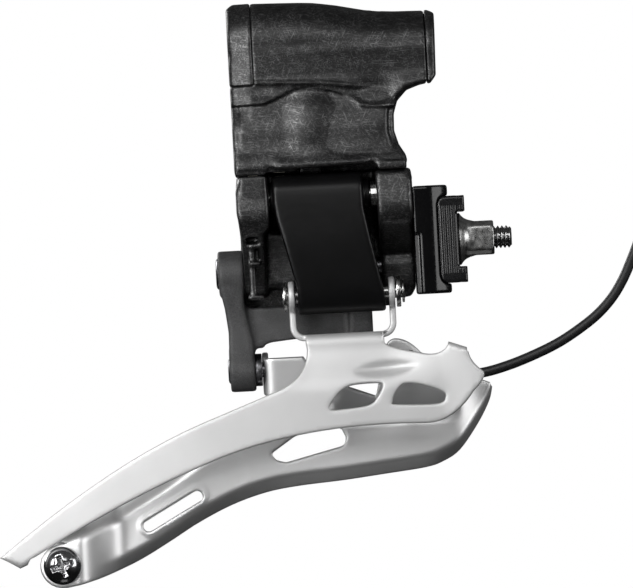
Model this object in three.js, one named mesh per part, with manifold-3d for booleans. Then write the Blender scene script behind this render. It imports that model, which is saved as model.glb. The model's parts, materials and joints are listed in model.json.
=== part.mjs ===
// Motorised braze-on front derailleur, in millimetres.
// X runs along the pivot pins, forwards on the bicycle. Y runs inboard, towards the seat tube. Z is up.
// The origin is where the mounting stud's axis meets the front face of the braze-on block.
import * as THREE from "three";
import { mergeVertices } from "three/addons/utils/BufferGeometryUtils.js";
import Module from "manifold-3d";

const wasm = await Module();
wasm.setup();

// Driving dimensions.
const GAP = 0.3;
const LINK = 20.5;
const REST_LEAN = THREE.MathUtils.degToRad(5);
const A = { y: -4, z: 10.3 };
const B = { y: A.y + 9, z: A.z - 15 };
const SWING = { y: LINK * Math.sin(REST_LEAN), z: -LINK * Math.cos(REST_LEAN) };
const C = { y: A.y + SWING.y, z: A.z + SWING.z };
const D = { y: B.y + SWING.y, z: B.z + SWING.z };
const MOTOR = { y: 2, z: 41.5 };
const PIN_R = 1.6;
const BORE = 0.06;
const LEFT_ARM = [-43.4, -37.15];
const RIGHT_ARM = [-14.9, -7.1];
const PARTING_Z = 15.4;
const CORD_R = 1.05;
const COIL = { x: 55, z: -12, r: 11.5, y0: 8.6, turns: 4, pitch: 2.25 };

// Colours and finishes.
const look = (color, roughness, metalness) =>
  new THREE.MeshStandardMaterial({ color, roughness, metalness });
const CARBON = look(0x1b1b1c, 0.5, 0);
const BLACK = look(0x101011, 0.4, 0.1);
const CASTING = look(0x39393b, 0.7, 0.2);
const SATIN = look(0xc9c9c8, 0.38, 0.9);
const STEEL = look(0x9c9c9c, 0.35, 0.9);
const ZINC = look(0xb5b5b0, 0.45, 0.85);
const RUBBER = look(0x161616, 0.8, 0);
const BRONZE = look(0x8a6a3a, 0.45, 0.8);
const BOARD = look(0x1f4a2c, 0.6, 0);
const NYLON = look(0xd8d4c6, 0.55, 0);

// Solids: a three.js geometry becomes a manifold solid, which can be joined and cut.
function solid(geometry) {
  const bare = geometry.index ? geometry.toNonIndexed() : geometry.clone();
  bare.deleteAttribute("normal");
  bare.deleteAttribute("uv");
  const merged = mergeVertices(bare, 1e-4);
  return new wasm.Manifold(
    new wasm.Mesh({
      numProp: 3,
      vertProperties: new Float32Array(merged.attributes.position.array),
      triVerts: new Uint32Array(merged.index.array),
    }),
  );
}

const join = (first, ...rest) => rest.reduce((a, b) => a.add(b), first);
const cut = (first, ...rest) => rest.reduce((a, b) => a.subtract(b), first);

function geometryOf(manifold) {
  const { vertProperties, triVerts } = manifold.getMesh();
  const geometry = new THREE.BufferGeometry();
  geometry.setAttribute("position", new THREE.BufferAttribute(vertProperties, 3));
  geometry.setIndex(new THREE.BufferAttribute(triVerts, 1));
  const faceted = geometry.toNonIndexed();
  faceted.computeVertexNormals();
  return faceted;
}

const assembly = new THREE.Group();

function add(name, shape, material) {
  const mesh = new THREE.Mesh(geometryOf(shape), material);
  mesh.name = name;
  assembly.add(mesh);
}

// Boxes are given by their low and high x, y and z.
function box([x0, x1], [y0, y1], [z0, z1]) {
  const geometry = new THREE.BoxGeometry(x1 - x0, y1 - y0, z1 - z0);
  return solid(geometry.translate((x0 + x1) / 2, (y0 + y1) / 2, (z0 + z1) / 2));
}

const outline = (points) => new THREE.Shape(points.map(([u, v]) => new THREE.Vector2(u, v)));

// An outline of (x, z) points, with y from y0 to y1.
function plateY(shape, [y0, y1], segments = 4) {
  const geometry = new THREE.ExtrudeGeometry(shape, {
    depth: y1 - y0,
    bevelEnabled: false,
    curveSegments: segments,
  });
  return solid(geometry.rotateX(Math.PI / 2).translate(0, y1, 0));
}

// An outline of (y, z) points, with x from x0 to x1.
function plateX(shape, [x0, x1], segments = 4) {
  const geometry = new THREE.ExtrudeGeometry(shape, {
    depth: x1 - x0,
    bevelEnabled: false,
    curveSegments: segments,
  });
  const axes = new THREE.Matrix4().set(0, 0, 1, x0, 1, 0, 0, 0, 0, 1, 0, 0, 0, 0, 0, 1);
  return solid(geometry.applyMatrix4(axes));
}

// A solid turned about an axis along X through (y, z): its profile is a list of [x, radius].
function turned(profile, { y, z }, sides = 16) {
  const points = profile.map(([x, r]) => new THREE.Vector2(r, x));
  const geometry = new THREE.LatheGeometry(points, sides);
  return solid(geometry.rotateZ(-Math.PI / 2).translate(0, y, z));
}

const rod = (r, [x0, x1], at, sides = 16) =>
  turned([[x0, 0], [x0, r], [x1, r], [x1, 0]], at, sides);

const ring = (inner, outer, [x0, x1], at, sides = 16) =>
  cut(rod(outer, [x0, x1], at, sides), rod(inner, [x0 - 1, x1 + 1], at, sides));

// A pivot pin with a head at its rear end.
const headedPin = (r, headR, headLength, [x0, x1], at) =>
  turned([[x0, 0], [x0, headR], [x0 + headLength, headR], [x0 + headLength, r], [x1, r], [x1, 0]], at);

// A round boss in the (y, z) plane joined to its neighbours by tangents: the hull of several discs.
function discsHull(discs, steps = 10) {
  const points = [];
  for (const [y, z, r] of discs) {
    for (let i = 0; i < steps; i++) {
      const t = (2 * Math.PI * i) / steps;
      points.push([y + r * Math.cos(t), z + r * Math.sin(t)]);
    }
  }
  points.sort((p, q) => p[0] - q[0] || p[1] - q[1]);
  const turn = (o, p, q) => (p[0] - o[0]) * (q[1] - o[1]) - (p[1] - o[1]) * (q[0] - o[0]);
  const half = (list) => {
    const chain = [];
    for (const p of list) {
      while (chain.length > 1 && turn(chain.at(-2), chain.at(-1), p) <= 1e-6) chain.pop();
      chain.push(p);
    }
    return chain.slice(0, -1);
  };
  return outline([...half(points), ...half([...points].reverse())]);
}

// Smooth 0 to 1 step between a and b.
function step(a, b, v) {
  const t = Math.min(1, Math.max(0, (v - a) / (b - a)));
  return t * t * (3 - 2 * t);
}

// Straight-line interpolation in a list of [x, value], rising in x.
function along(list, x) {
  const i = Math.max(1, list.findIndex(([at]) => at >= x));
  const [x0, v0] = list[i - 1];
  const [x1, v1] = list[i];
  return v0 + ((v1 - v0) * Math.min(1, Math.max(0, (x - x0) / (x1 - x0))));
}

// A curved sheet of the given thickness, whose outboard face is y = face(x, z).
function sheet([x0, x1], nx, [z0, z1], nz, face, thickness) {
  const positions = [];
  const index = [];
  for (const back of [0, thickness]) {
    for (let i = 0; i <= nx; i++) {
      for (let j = 0; j <= nz; j++) {
        const x = x0 + ((x1 - x0) * i) / nx;
        const z = z0 + ((z1 - z0) * j) / nz;
        positions.push(x, face(x, z) + back, z);
      }
    }
  }
  const at = (layer, i, j) => layer * (nx + 1) * (nz + 1) + i * (nz + 1) + j;
  const quad = (a, b, c, d) => index.push(a, b, c, a, c, d);
  for (let i = 0; i < nx; i++) {
    for (let j = 0; j < nz; j++) {
      quad(at(0, i, j), at(0, i + 1, j), at(0, i + 1, j + 1), at(0, i, j + 1));
      quad(at(1, i, j), at(1, i, j + 1), at(1, i + 1, j + 1), at(1, i + 1, j));
    }
  }
  for (let i = 0; i < nx; i++) {
    quad(at(0, i, 0), at(1, i, 0), at(1, i + 1, 0), at(0, i + 1, 0));
    quad(at(0, i, nz), at(0, i + 1, nz), at(1, i + 1, nz), at(1, i, nz));
  }
  for (let j = 0; j < nz; j++) {
    quad(at(0, 0, j), at(0, 0, j + 1), at(1, 0, j + 1), at(1, 0, j));
    quad(at(0, nx, j), at(1, nx, j), at(1, nx, j + 1), at(0, nx, j + 1));
  }
  const geometry = new THREE.BufferGeometry();
  geometry.setAttribute("position", new THREE.Float32BufferAttribute(positions, 3));
  geometry.setIndex(index);
  return solid(geometry);
}

// Motor housing: a horizontal barrel over a waisted block, hollow for the motor and the gears.
const HOUSING_SIDE = outline([
  [-44.2, PARTING_Z + GAP], [-37, PARTING_Z + GAP], [-35.6, 16.6], [-15.5, 16.6],
  [-14.6, PARTING_Z + GAP], [-8.1, PARTING_Z + GAP], [-7.6, 16.8], [-7.9, 18.2], [-9.2, 20.4],
  [-10, 23.2], [-9.9, 26.6], [-9, 29.4], [-7, 31.5], [-4.4, 32.4], [-2, 32.8], [-0.9, 34.2],
  [-0.6, 47.4], [-2.2, 48.4], [-15, 49.2], [-21, 50.5], [-38.6, 51.7], [-42.8, 51.7],
  [-44.3, 50.2],
]);
const HOUSING_END = new THREE.Shape();
HOUSING_END.moveTo(-10.2, PARTING_Z);
HOUSING_END.lineTo(-10, 20);
HOUSING_END.lineTo(-9.1, 26);
HOUSING_END.lineTo(-7.4, 33);
HOUSING_END.absarc(MOTOR.y, 42.3, 9.4, THREE.MathUtils.degToRad(190), THREE.MathUtils.degToRad(-10), true);
HOUSING_END.lineTo(11.6, 33);
HOUSING_END.lineTo(12.4, 24);
HOUSING_END.lineTo(12.8, PARTING_Z);
const REAR_CAP_X = -39;
const FRONT_CAP_X = -2.85;
const BARREL_FLOOR = 34;
const MOTOR_BORE_R = 6.6;

const housingForm = plateY(HOUSING_SIDE, [-12, 15]).intersect(plateX(HOUSING_END, [-46, 2], 14));
const rearCapZone = box([-50, REAR_CAP_X], [-15, 20], [BARREL_FLOOR, 60]);
const frontCapZone = box([FRONT_CAP_X, 5], [-15, 20], [30, 60]);
const gearChamber = join(
  box([-42.6, -30.2], [-8.6, 9.8], [10, 24]),
  box([-42.6, -30.2], [-5.9, 9.8], [20, 39.6]),
);
const boardBay = box([-26, -12], [-5.5, 9.5], [19, 31]);
const boardBayMouth = box([-24, -14], [-4, 8], [10, 20]);
const motorBore = rod(MOTOR_BORE_R, [-50, 5], MOTOR, 24);

function motorHousing() {
  const grownRear = box([-50, REAR_CAP_X + GAP], [-15, 20], [BARREL_FLOOR - GAP, 60]);
  const grownFront = box([FRONT_CAP_X - GAP, 5], [-15, 20], [30, 60]);
  const body = cut(housingForm, grownRear, grownFront, motorBore, gearChamber, boardBay, boardBayMouth);
  add("motor_housing", body, CARBON);
}

function endCaps() {
  const rear = housingForm.intersect(rearCapZone);
  add("rear_end_cap", cut(rear, rod(5.4, [-42.8, -30], MOTOR, 20)), CARBON);
  const front = housingForm.intersect(frontCapZone);
  add("front_end_cap", cut(front, rod(4.6, [-10, -1.9], MOTOR, 20)), CARBON);
  add("rear_seal", ring(5.6, 6.3, [REAR_CAP_X + GAP, REAR_CAP_X + 1.5], MOTOR, 20), RUBBER);
  add("front_seal", ring(5.6, 6.3, [FRONT_CAP_X - 1.5, FRONT_CAP_X - GAP], MOTOR, 20), RUBBER);
}

// Gear train: motor pinion, two compound gears and a toothed sector on the drive shaft.
const MODULE = 0.5;
const TEETH = { pinion: 12, first: 26, second: 26, sector: 42 };
const pitchR = (teeth) => (MODULE * teeth) / 2;
const FIRST_REACH = pitchR(TEETH.pinion) + pitchR(TEETH.first);
const SECOND_REACH = pitchR(TEETH.pinion) + pitchR(TEETH.second);
const SECTOR_REACH = pitchR(TEETH.pinion) + pitchR(TEETH.sector);
const FIRST_SIDE = THREE.MathUtils.degToRad(5);
const FIRST = {
  y: MOTOR.y + FIRST_REACH * Math.sin(FIRST_SIDE),
  z: MOTOR.z - FIRST_REACH * Math.cos(FIRST_SIDE),
};

// The second gear sits where its distances to the first gear and to the sector are both right.
function secondCentre() {
  const dy = A.y - FIRST.y;
  const dz = A.z - FIRST.z;
  const span = Math.hypot(dy, dz);
  const run = (span ** 2 + SECOND_REACH ** 2 - SECTOR_REACH ** 2) / (2 * span);
  const off = Math.sqrt(SECOND_REACH ** 2 - run ** 2);
  return {
    y: FIRST.y + (run * dy - off * dz) / span,
    z: FIRST.z + (run * dz + off * dy) / span,
  };
}
const SECOND = secondCentre();

const bearing = (from, to) => Math.atan2(to.z - from.z, to.y - from.y);

// The angle that puts a gap of the driven gear where a tooth of the driver stands.
function meshAngle(from, to, driverTeeth, driverAngle, drivenTeeth) {
  const line = bearing(from, to);
  const halfPitch = Math.PI / drivenTeeth;
  return line + Math.PI - halfPitch - ((driverAngle - line) * driverTeeth) / drivenTeeth;
}

const PINION_ANGLE = 0;
const FIRST_ANGLE = meshAngle(MOTOR, FIRST, TEETH.pinion, PINION_ANGLE, TEETH.first);
const SECOND_ANGLE = meshAngle(FIRST, SECOND, TEETH.pinion, 0, TEETH.second);
const SECTOR_ANGLE = meshAngle(SECOND, A, TEETH.pinion, 0, TEETH.sector);

// One tooth's four corners, as [angle from its middle, radius].
function toothCorners(teeth) {
  const r = pitchR(teeth);
  const tip = r + 0.8 * MODULE;
  const root = r - 1.15 * MODULE;
  const half = (Math.PI * MODULE) / 4 - 0.1;
  const slope = Math.tan(THREE.MathUtils.degToRad(20));
  const tipHalf = (half - 0.8 * MODULE * slope) / tip;
  const rootHalf = (half + 1.15 * MODULE * slope) / root;
  return [[-rootHalf, root], [-tipHalf, tip], [tipHalf, tip], [rootHalf, root]];
}

function gearWheel(teeth, angle, centre, width) {
  const points = [];
  for (let i = 0; i < teeth; i++) {
    const middle = angle + (2 * Math.PI * i) / teeth;
    for (const [offset, r] of toothCorners(teeth)) {
      points.push([centre.y + r * Math.cos(middle + offset), centre.z + r * Math.sin(middle + offset)]);
    }
  }
  return plateX(outline(points), width);
}

const PINION_X = [-32.6, -30.6];
const FIRST_SMALL_X = [-36.4, -33];
const SECOND_LARGE_X = [-36, -33.4];
const SECTOR_X = [-41.2, -39.2];
const AXLE_R = 0.8;

function compoundGear(name, centre, large, largeX, small, smallX) {
  const wheel = gearWheel(large.teeth, large.angle, centre, largeX);
  const pinion = gearWheel(small.teeth, small.angle, centre, smallX);
  const hole = rod(AXLE_R + BORE, [-45, -25], centre, 12);
  add(name, cut(join(wheel, pinion), hole), NYLON);
  add(name + "_axle", rod(AXLE_R, [-42.3, -30.5], centre, 12), STEEL);
}

function gearTrain() {
  const pinion = gearWheel(TEETH.pinion, PINION_ANGLE, MOTOR, PINION_X);
  add("motor_pinion", cut(pinion, rod(0.9 + BORE, [-45, -25], MOTOR, 12)), BRONZE);
  compoundGear("first_gear", FIRST, { teeth: TEETH.first, angle: FIRST_ANGLE }, PINION_X,
    { teeth: TEETH.pinion, angle: 0 }, [FIRST_SMALL_X[0], PINION_X[0] + 0.1]);
  compoundGear("second_gear", SECOND, { teeth: TEETH.second, angle: SECOND_ANGLE }, SECOND_LARGE_X,
    { teeth: TEETH.pinion, angle: 0 }, [-41.4, SECOND_LARGE_X[0] + 0.1]);
  const wheel = gearWheel(TEETH.sector, SECTOR_ANGLE, A, SECTOR_X);
  const wedge = plateX(outline([
    [A.y, A.z], [A.y + 7.4, A.z + 10.2], [A.y + 3, A.z + 12], [A.y - 4.7, A.z + 11.6],
  ]), [-45, -30]);
  const hub = rod(3.1, SECTOR_X, A, 16);
  const shaftHole = rod(PIN_R + BORE, [-45, -30], A, 16);
  add("sector_gear", cut(join(wheel.intersect(wedge), hub), shaftHole), NYLON);
}

function motorUnit() {
  add("motor_can", rod(6, [-23.5, -5], MOTOR, 20), STEEL);
  const flange = [[-30.2, 0], [-30.2, 2], [-29.4, 2], [-29.4, 6], [-23.8, 6], [-23.8, 0]];
  add("gearhead", turned(flange, MOTOR, 20), STEEL);
  add("motor_shaft", rod(0.9, [-33.2, -30.5], MOTOR, 12), STEEL);
  add("control_board", box([-25.4, -12.6], [1.6, 2.8], [19.6, 30.4]), BOARD);
}

// Fixed body: two arms and a back wall below the housing, open in front for the links.
function fixedBody() {
  const leftArm = discsHull([[A.y, A.z, 5], [B.y, B.z, 5.4], [-4.6, PARTING_Z - 2, 2], [10.8, PARTING_Z - 2, 2], [8.6, -7, 3.8]]);
  const rightArm = discsHull([[A.y, A.z, 5], [-6.6, PARTING_Z - 2, 2], [10.8, PARTING_Z - 2, 2], [8, 0, 5]]);
  const rightFoot = discsHull([[B.y + 0.9, B.z, 4], [5.6, -8.2, 3.7], [9.2, -8.2, 3.7], [10.2, 5, 2.6]]);
  const wall = box([LEFT_ARM[0], RIGHT_ARM[1]], [11, 12.8], [-6, PARTING_Z]);
  const roofFront = box([LEFT_ARM[0], RIGHT_ARM[1]], [3, 12.8], [PARTING_Z - 2.4, PARTING_Z]);
  const body = join(
    plateX(leftArm, LEFT_ARM),
    plateX(rightArm, RIGHT_ARM),
    plateX(rightFoot, RIGHT_ARM),
    wall,
    roofFront,
  );
  const sectorRoom = plateX(discsHull([
    [A.y, A.z, 3.5], [A.y - 2.6, A.z + 7, 1.2], [A.y + 10.2, A.z + 4.6, 1.4], [A.y + 9, A.z + 9, 2],
  ]), [-41.9, -38.6]);
  const topTrim = box([-50, 0], [-20, 20], [PARTING_Z, 60]);
  const shaftBores = [
    rod(2.6 + BORE, [-50, -41.8], A),
    rod(2.6 + BORE, [-38.7, -30], A),
    rod(2.6 + BORE, [-20, 0], A),
    rod(PIN_R + BORE, [-50, 0], B),
  ];
  add("fixed_body", cut(body, sectorRoom, topTrim, ...shaftBores), CARBON);
}

// The drive shaft turns in three bushes and carries the sector and the outer link.
function driveShaft() {
  add("drive_shaft", headedPin(PIN_R, 2.2, 0.5, [-43.9, -9.3], A), STEEL);
  const bushes = [["rear_bush", [-43.2, -42.2]], ["middle_bush", [-38.3, -37]], ["front_bush", [-15.9, -11.6]]];
  for (const [name, width] of bushes) {
    add(name, ring(PIN_R + BORE, 2.6, width, A), BRONZE);
  }
  add("sensor_magnet", rod(1.5, [-9, -8], A, 12), STEEL);
}

// Braze-on block: glossy black block with a pocket across its front face for the clamp saddle.
const BLOCK_Z = [-11.1, 11.4];
const SADDLE_HALF = 9.1;
const STUD_R = 2.4;

function brazeOnBlock() {
  const plan = new THREE.Shape();
  const half = 8;
  const corner = 1.6;
  plan.moveTo(-6.8, -half);
  plan.lineTo(-corner, -half);
  plan.absarc(-corner, -half + corner, corner, -Math.PI / 2, 0, false);
  plan.lineTo(0, half - corner);
  plan.absarc(-corner, half - corner, corner, 0, Math.PI / 2, false);
  plan.lineTo(-6.8, half);
  const tall = new THREE.ExtrudeGeometry(plan, {
    depth: BLOCK_Z[1] - BLOCK_Z[0], bevelEnabled: false, curveSegments: 4,
  });
  const pocket = box([-2.7 - GAP, 1], [-9, 9], [-SADDLE_HALF - GAP, SADDLE_HALF + GAP]);
  const hole = rod(STUD_R + BORE, [-5.5, 5], { y: 0, z: 0 });
  add("braze_on_block", cut(solid(tall.translate(0, 0, BLOCK_Z[0])), pocket, hole), BLACK);
}

function clampSaddle() {
  const depth = 1.84;
  const lip = 3.45;
  const lipZ = 5.66;
  const side = outline([
    [-2.7, -SADDLE_HALF], [lip, -SADDLE_HALF], [lip, -lipZ], [depth, -lipZ],
    [depth, lipZ], [lip, lipZ], [lip, SADDLE_HALF], [-2.7, SADDLE_HALF],
  ]);
  const serrations = [];
  for (const y of [-6.1, -4.3, 4.3, 6.1]) {
    serrations.push(box([depth - 0.4, depth + 1], [y - 0.25, y + 0.25], [-lipZ, lipZ]));
  }
  const hole = rod(STUD_R + BORE, [-5, 5], { y: 0, z: 0 });
  add("clamp_saddle", cut(plateY(side, [-7.2, 7.2]), hole, ...serrations), CASTING);
}

function studAndNut() {
  const root = STUD_R - 0.35;
  const profile = [[-5.2, 0], [-5.2, STUD_R], [9.2, STUD_R]];
  for (let x = 9.2; x < 12.4; x += 0.87) {
    profile.push([x + 0.22, root], [x + 0.43, root], [x + 0.65, STUD_R]);
  }
  profile.push([13, STUD_R - 0.4], [13, 0]);
  add("mounting_stud", turned(profile, { y: 0, z: 0 }, 14), ZINC);
  const flange = turned([[2.25, 0], [2.25, 5.5], [2.9, 5.5], [3.5, 4.2], [4.1, 3.7], [4.1, 0]], { y: 0, z: 0 }, 24);
  const half = 3.55;
  const bevel = 1.1;
  const octagon = outline([
    [-half, -half + bevel], [-half + bevel, -half], [half - bevel, -half], [half, -half + bevel],
    [half, half - bevel], [half - bevel, half], [-half + bevel, half], [-half, half - bevel],
  ]);
  const body = plateX(octagon, [4, 9.34]);
  const bore = rod(STUD_R + BORE, [0, 12], { y: 0, z: 0 }, 14);
  add("flange_nut", cut(join(flange, body), bore), ZINC);
}

// Outer link: a curved plate between two knuckles, wider at its foot.
const OUTER_LINK_FACE = outline([
  [-36.2, 16.5], [-36, 8.7], [-35, 3.4], [-33.8, -1.8], [-32.7, -6], [-32.2, -7.4], [-32.2, -15.5],
  [-13.7, -15.5], [-14.1, -9.8], [-15.3, -4], [-16.6, 2.5], [-17.65, 8.4], [-17.7, 16.5],
]);

function outerLink() {
  const blade = outline([
    [A.y - 4.9, A.z + 0.5], [A.y - 4.2, A.z + 3.2], [A.y - 1.8, A.z + 4.7], [A.y + 1.2, A.z + 4.5],
    [A.y + 3.4, A.z + 2.2], [A.y + 3.4, A.z - 2.4], [A.y + 0.6, A.z - 5.5], [A.y - 0.4, A.z - 10],
    [C.y + 0.4, C.z + 5], [C.y + 2.4, C.z + 2.6], [C.y + 3, C.z], [C.y + 2.2, C.z - 2.8],
    [C.y, C.z - 4.1], [C.y - 2.8, C.z - 3.2], [C.y - 4.6, C.z], [C.y - 6, C.z + 6],
    [A.y - 5, A.z - 8],
  ]);
  const link = plateX(blade, [-38, -12]).intersect(plateY(OUTER_LINK_FACE, [-20, 15]));
  const holes = [rod(PIN_R + BORE, [-50, 0], A), rod(PIN_R + BORE, [-50, 0], C)];
  add("outer_link", cut(link, ...holes), BLACK);
}

// Inner link: two arms and a cross beam, cast in one piece.
function innerLink() {
  const leftArm = discsHull([[B.y, B.z, 4.7], [D.y, D.z, 4.4]], 16);
  const rightArm = discsHull([[B.y, B.z, 3.7], [D.y, D.z, 3.6]], 14);
  const left = join(
    plateX(leftArm, [-47, -43.7]),
    rod(4.7, [-48.4, -43.7], B, 20),
    rod(4.4, [-47, -41.8], D, 20),
  );
  const beam = box([-44.4, -17], [B.y - 1.6, D.y + 3.2], [-18.9, -12.6]);
  const stopTab = box([-41, -39.6], [D.y - 3.2, D.y - 0.6], [-21.6, -18.4]);
  const right = plateX(rightArm, [-21.6, -17]);
  const holes = [rod(PIN_R + BORE, [-50, 0], B), rod(PIN_R + BORE, [-50, 0], D)];
  add("inner_link", cut(join(left, beam, stopTab, right), ...holes), CASTING);
}

function linkPins() {
  add("inner_link_pivot_pin", headedPin(PIN_R, 3.2, 0.5, [-48.95, -8.4], B), STEEL);
  add("lower_rear_pin", headedPin(PIN_R, 2.6, 0.4, [-47.45, -38.6], D), STEEL);
  add("lower_front_pin", rod(PIN_R, [-21.5, -13.4], D), STEEL);
  add("lower_outer_pin", rod(PIN_R, [-35.4, -9.7], C), STEEL);
  add("outer_pin_rear_washer", ring(PIN_R + BORE, 3.1, [-35.1, -34.4], C), STEEL);
  add("outer_pin_front_washer", ring(PIN_R + BORE, 3.3, [-11.6, -10.7], C), STEEL);
  add("outer_pin_clip", ring(PIN_R + BORE, 2.4, [-10.4, -9.9], C), STEEL);
  add("inner_pin_washer", ring(PIN_R + BORE, 3.4, [-41.5, -40.7], D), STEEL);
}

// Outer cage plate: its outline seen from outboard, its windows and its bend.
const OUTER_OUTLINE = new THREE.Shape();
OUTER_OUTLINE.moveTo(-30.7, -17.6);
OUTER_OUTLINE.lineTo(-14.8, -17.6);
OUTER_OUTLINE.lineTo(-14.6, -20.6);
OUTER_OUTLINE.quadraticCurveTo(-13.6, -21.6, -8, -22.9);
OUTER_OUTLINE.quadraticCurveTo(-2.5, -24.6, -1.3, -20.9);
OUTER_OUTLINE.lineTo(2.5, -22.3);
OUTER_OUTLINE.quadraticCurveTo(2.2, -25.2, 5.5, -27.6);
OUTER_OUTLINE.quadraticCurveTo(6.2, -28.8, 3.2, -31.7);
OUTER_OUTLINE.quadraticCurveTo(-1.5, -38.2, -7, -37.8);
OUTER_OUTLINE.quadraticCurveTo(-31, -36.6, -49.6, -42.8);
OUTER_OUTLINE.quadraticCurveTo(-67, -49, -84.7, -58.8);
OUTER_OUTLINE.lineTo(-90.3, -61.9);
OUTER_OUTLINE.lineTo(-90.9, -63.9);
OUTER_OUTLINE.lineTo(-93.3, -63.9);
OUTER_OUTLINE.lineTo(-96.75, -61.1);
OUTER_OUTLINE.quadraticCurveTo(-72.5, -42.6, -53.4, -35.5);
OUTER_OUTLINE.lineTo(-36.3, -29.2);
OUTER_OUTLINE.quadraticCurveTo(-31, -26.6, -30.7, -21);
const WINDOW_REAR = [[-26.6, -33.2], [-22.4, -29.8], [-17.5, -28.8], [-15.5, -29.3], [-18.3, -33.4], [-25.8, -34.2]];
const WINDOW_FRONT = [[-13.7, -33], [-11.6, -29.5], [-8.3, -29.6], [-2.6, -32.5], [-4.9, -33.9], [-13.1, -33.6]];
const SHEET_T = 1.3;

// The plate leans inboard towards its top, flares at its nose and narrows the cage at its tail.
function outerFace(x, z) {
  const top = 2.4 * step(-29, -22, z) * step(-36, -28, x) * (1 - step(-8, -2, x));
  const nose = -1.2 * step(-4, 6, x);
  const tail = 0.9 * step(-55, -95, x);
  return -7 + top + nose + tail;
}

function outerPlate() {
  const body = sheet([-98, 7], 15, [-66, -16], 8, outerFace, SHEET_T);
  const face = plateY(OUTER_OUTLINE, [-12, 2], 5);
  const windows = [plateY(outline(WINDOW_REAR), [-12, 2]), plateY(outline(WINDOW_FRONT), [-12, 2])];
  const shelf = box([-34, -11.9], [-4.4, 0.2], [-19.3, -18]);
  const ear = discsHull([[C.y, C.z, 3.2], [-3, -17.6, 1.6], [-1.2, -17.6, 1.6]], 14);
  const ears = [plateX(ear, [-34, -32.6]), plateX(ear, [-13.3, -11.9])];
  const nibTab = box([-1.2, 2.3], [-7.2, -4.4], [-22.4, -21]);
  const tailTab = box([-91.4, -88.9], [-5.6, -0.6], [-62.7, -60.9]);
  const tailFoot = plateY(outline([[-91.4, -60.9], [-86, -60], [-80.6, -61.2], [-80.6, -66], [-87, -66], [-91.4, -62.7]]), [-1.9, -0.6]);
  const screwHole = new THREE.CylinderGeometry(1.3, 1.3, 20, 12).translate(TAIL.x, 0, TAIL.z);
  const bridge = box([-13, -8.4], [-5.2, 1.4], [-26.2, -25]);
  const rivetHole = new THREE.CylinderGeometry(1.3, 1.3, 20, 12).rotateX(Math.PI / 2);
  const plate = join(cut(body.intersect(face), ...windows), shelf, ...ears, nibTab, tailTab, tailFoot, bridge);
  add("outer_plate", cut(
    plate,
    rod(PIN_R + BORE, [-50, 0], C),
    solid(screwHole),
    solid(rivetHole.translate(RIVET.x, RIVET.y, -24)),
  ), SATIN);
}

// Inner cage plate: deeper than the outer plate, with a rolled foot and a cranked tail.
const TAIL = { x: -83.8, z: -63.5 };
const RIVET = { x: -10.7, y: -0.7 };
const INNER_FOOT = [[-90, -68.6], [-81, -67.5], [-70, -65], [-55, -57.1], [-38.7, -51], [-19, -48.9], [-6.8, -47.6], [-1.5, -44.9], [2, -42.1], [6, -36], [8, -30]];
const INNER_OUTLINE = new THREE.Shape();
INNER_OUTLINE.moveTo(5.6, -29.6);
INNER_OUTLINE.lineTo(7.8, -31);
INNER_OUTLINE.quadraticCurveTo(4.5, -47, -9, -47.8);
INNER_OUTLINE.quadraticCurveTo(-38, -49.2, -49.5, -55);
INNER_OUTLINE.quadraticCurveTo(-62, -59.8, -67, -63.7);
INNER_OUTLINE.quadraticCurveTo(-73, -66.6, TAIL.x, TAIL.z - 4.7);
INNER_OUTLINE.absarc(TAIL.x, TAIL.z, 4.7, -Math.PI / 2, Math.PI / 2 + 0.2, true);
INNER_OUTLINE.lineTo(-79, -56);
INNER_OUTLINE.quadraticCurveTo(-62, -45, -46, -36.6);
INNER_OUTLINE.lineTo(-40.2, -31.5);
INNER_OUTLINE.lineTo(-40.2, -22.9);
INNER_OUTLINE.lineTo(-31.6, -22.9);
INNER_OUTLINE.quadraticCurveTo(-29, -27.2, -22.4, -29.8);
INNER_OUTLINE.lineTo(-17, -31.4);
INNER_OUTLINE.lineTo(-14.2, -20.4);
INNER_OUTLINE.quadraticCurveTo(-10, -19.6, -7.1, -23.1);
INNER_OUTLINE.quadraticCurveTo(0, -27.5, 5.6, -29.6);
const BIG_HOLE = [[-38.8, -42.6], [-34.4, -39.7], [-30.6, -38], [-25.2, -37.6], [-23.9, -40.1], [-24.2, -41.6], [-36.2, -44.4], [-38, -44]];

function innerFace(x, z) {
  const crank = -8.6 * step(-66, -79, x);
  const foot = 2.6 * step(3.4, 0, z - along(INNER_FOOT, x)) * step(-74, -64, x);
  const nose = 2.4 * step(-2, 7, x);
  return 4.2 + crank + foot + nose;
}

function slotOutline() {
  const slot = new THREE.Shape();
  slot.absarc(5.9, 0, 1, -Math.PI / 2, Math.PI / 2, false);
  slot.absarc(-5.9, 0, 1, Math.PI / 2, -Math.PI / 2, false);
  const turn = THREE.MathUtils.degToRad(28.4);
  const points = slot.getPoints(3).map((p) => p.rotateAround(new THREE.Vector2(), turn));
  return outline(points.map((p) => [p.x - 60.5, p.y - 53.65]));
}

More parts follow.
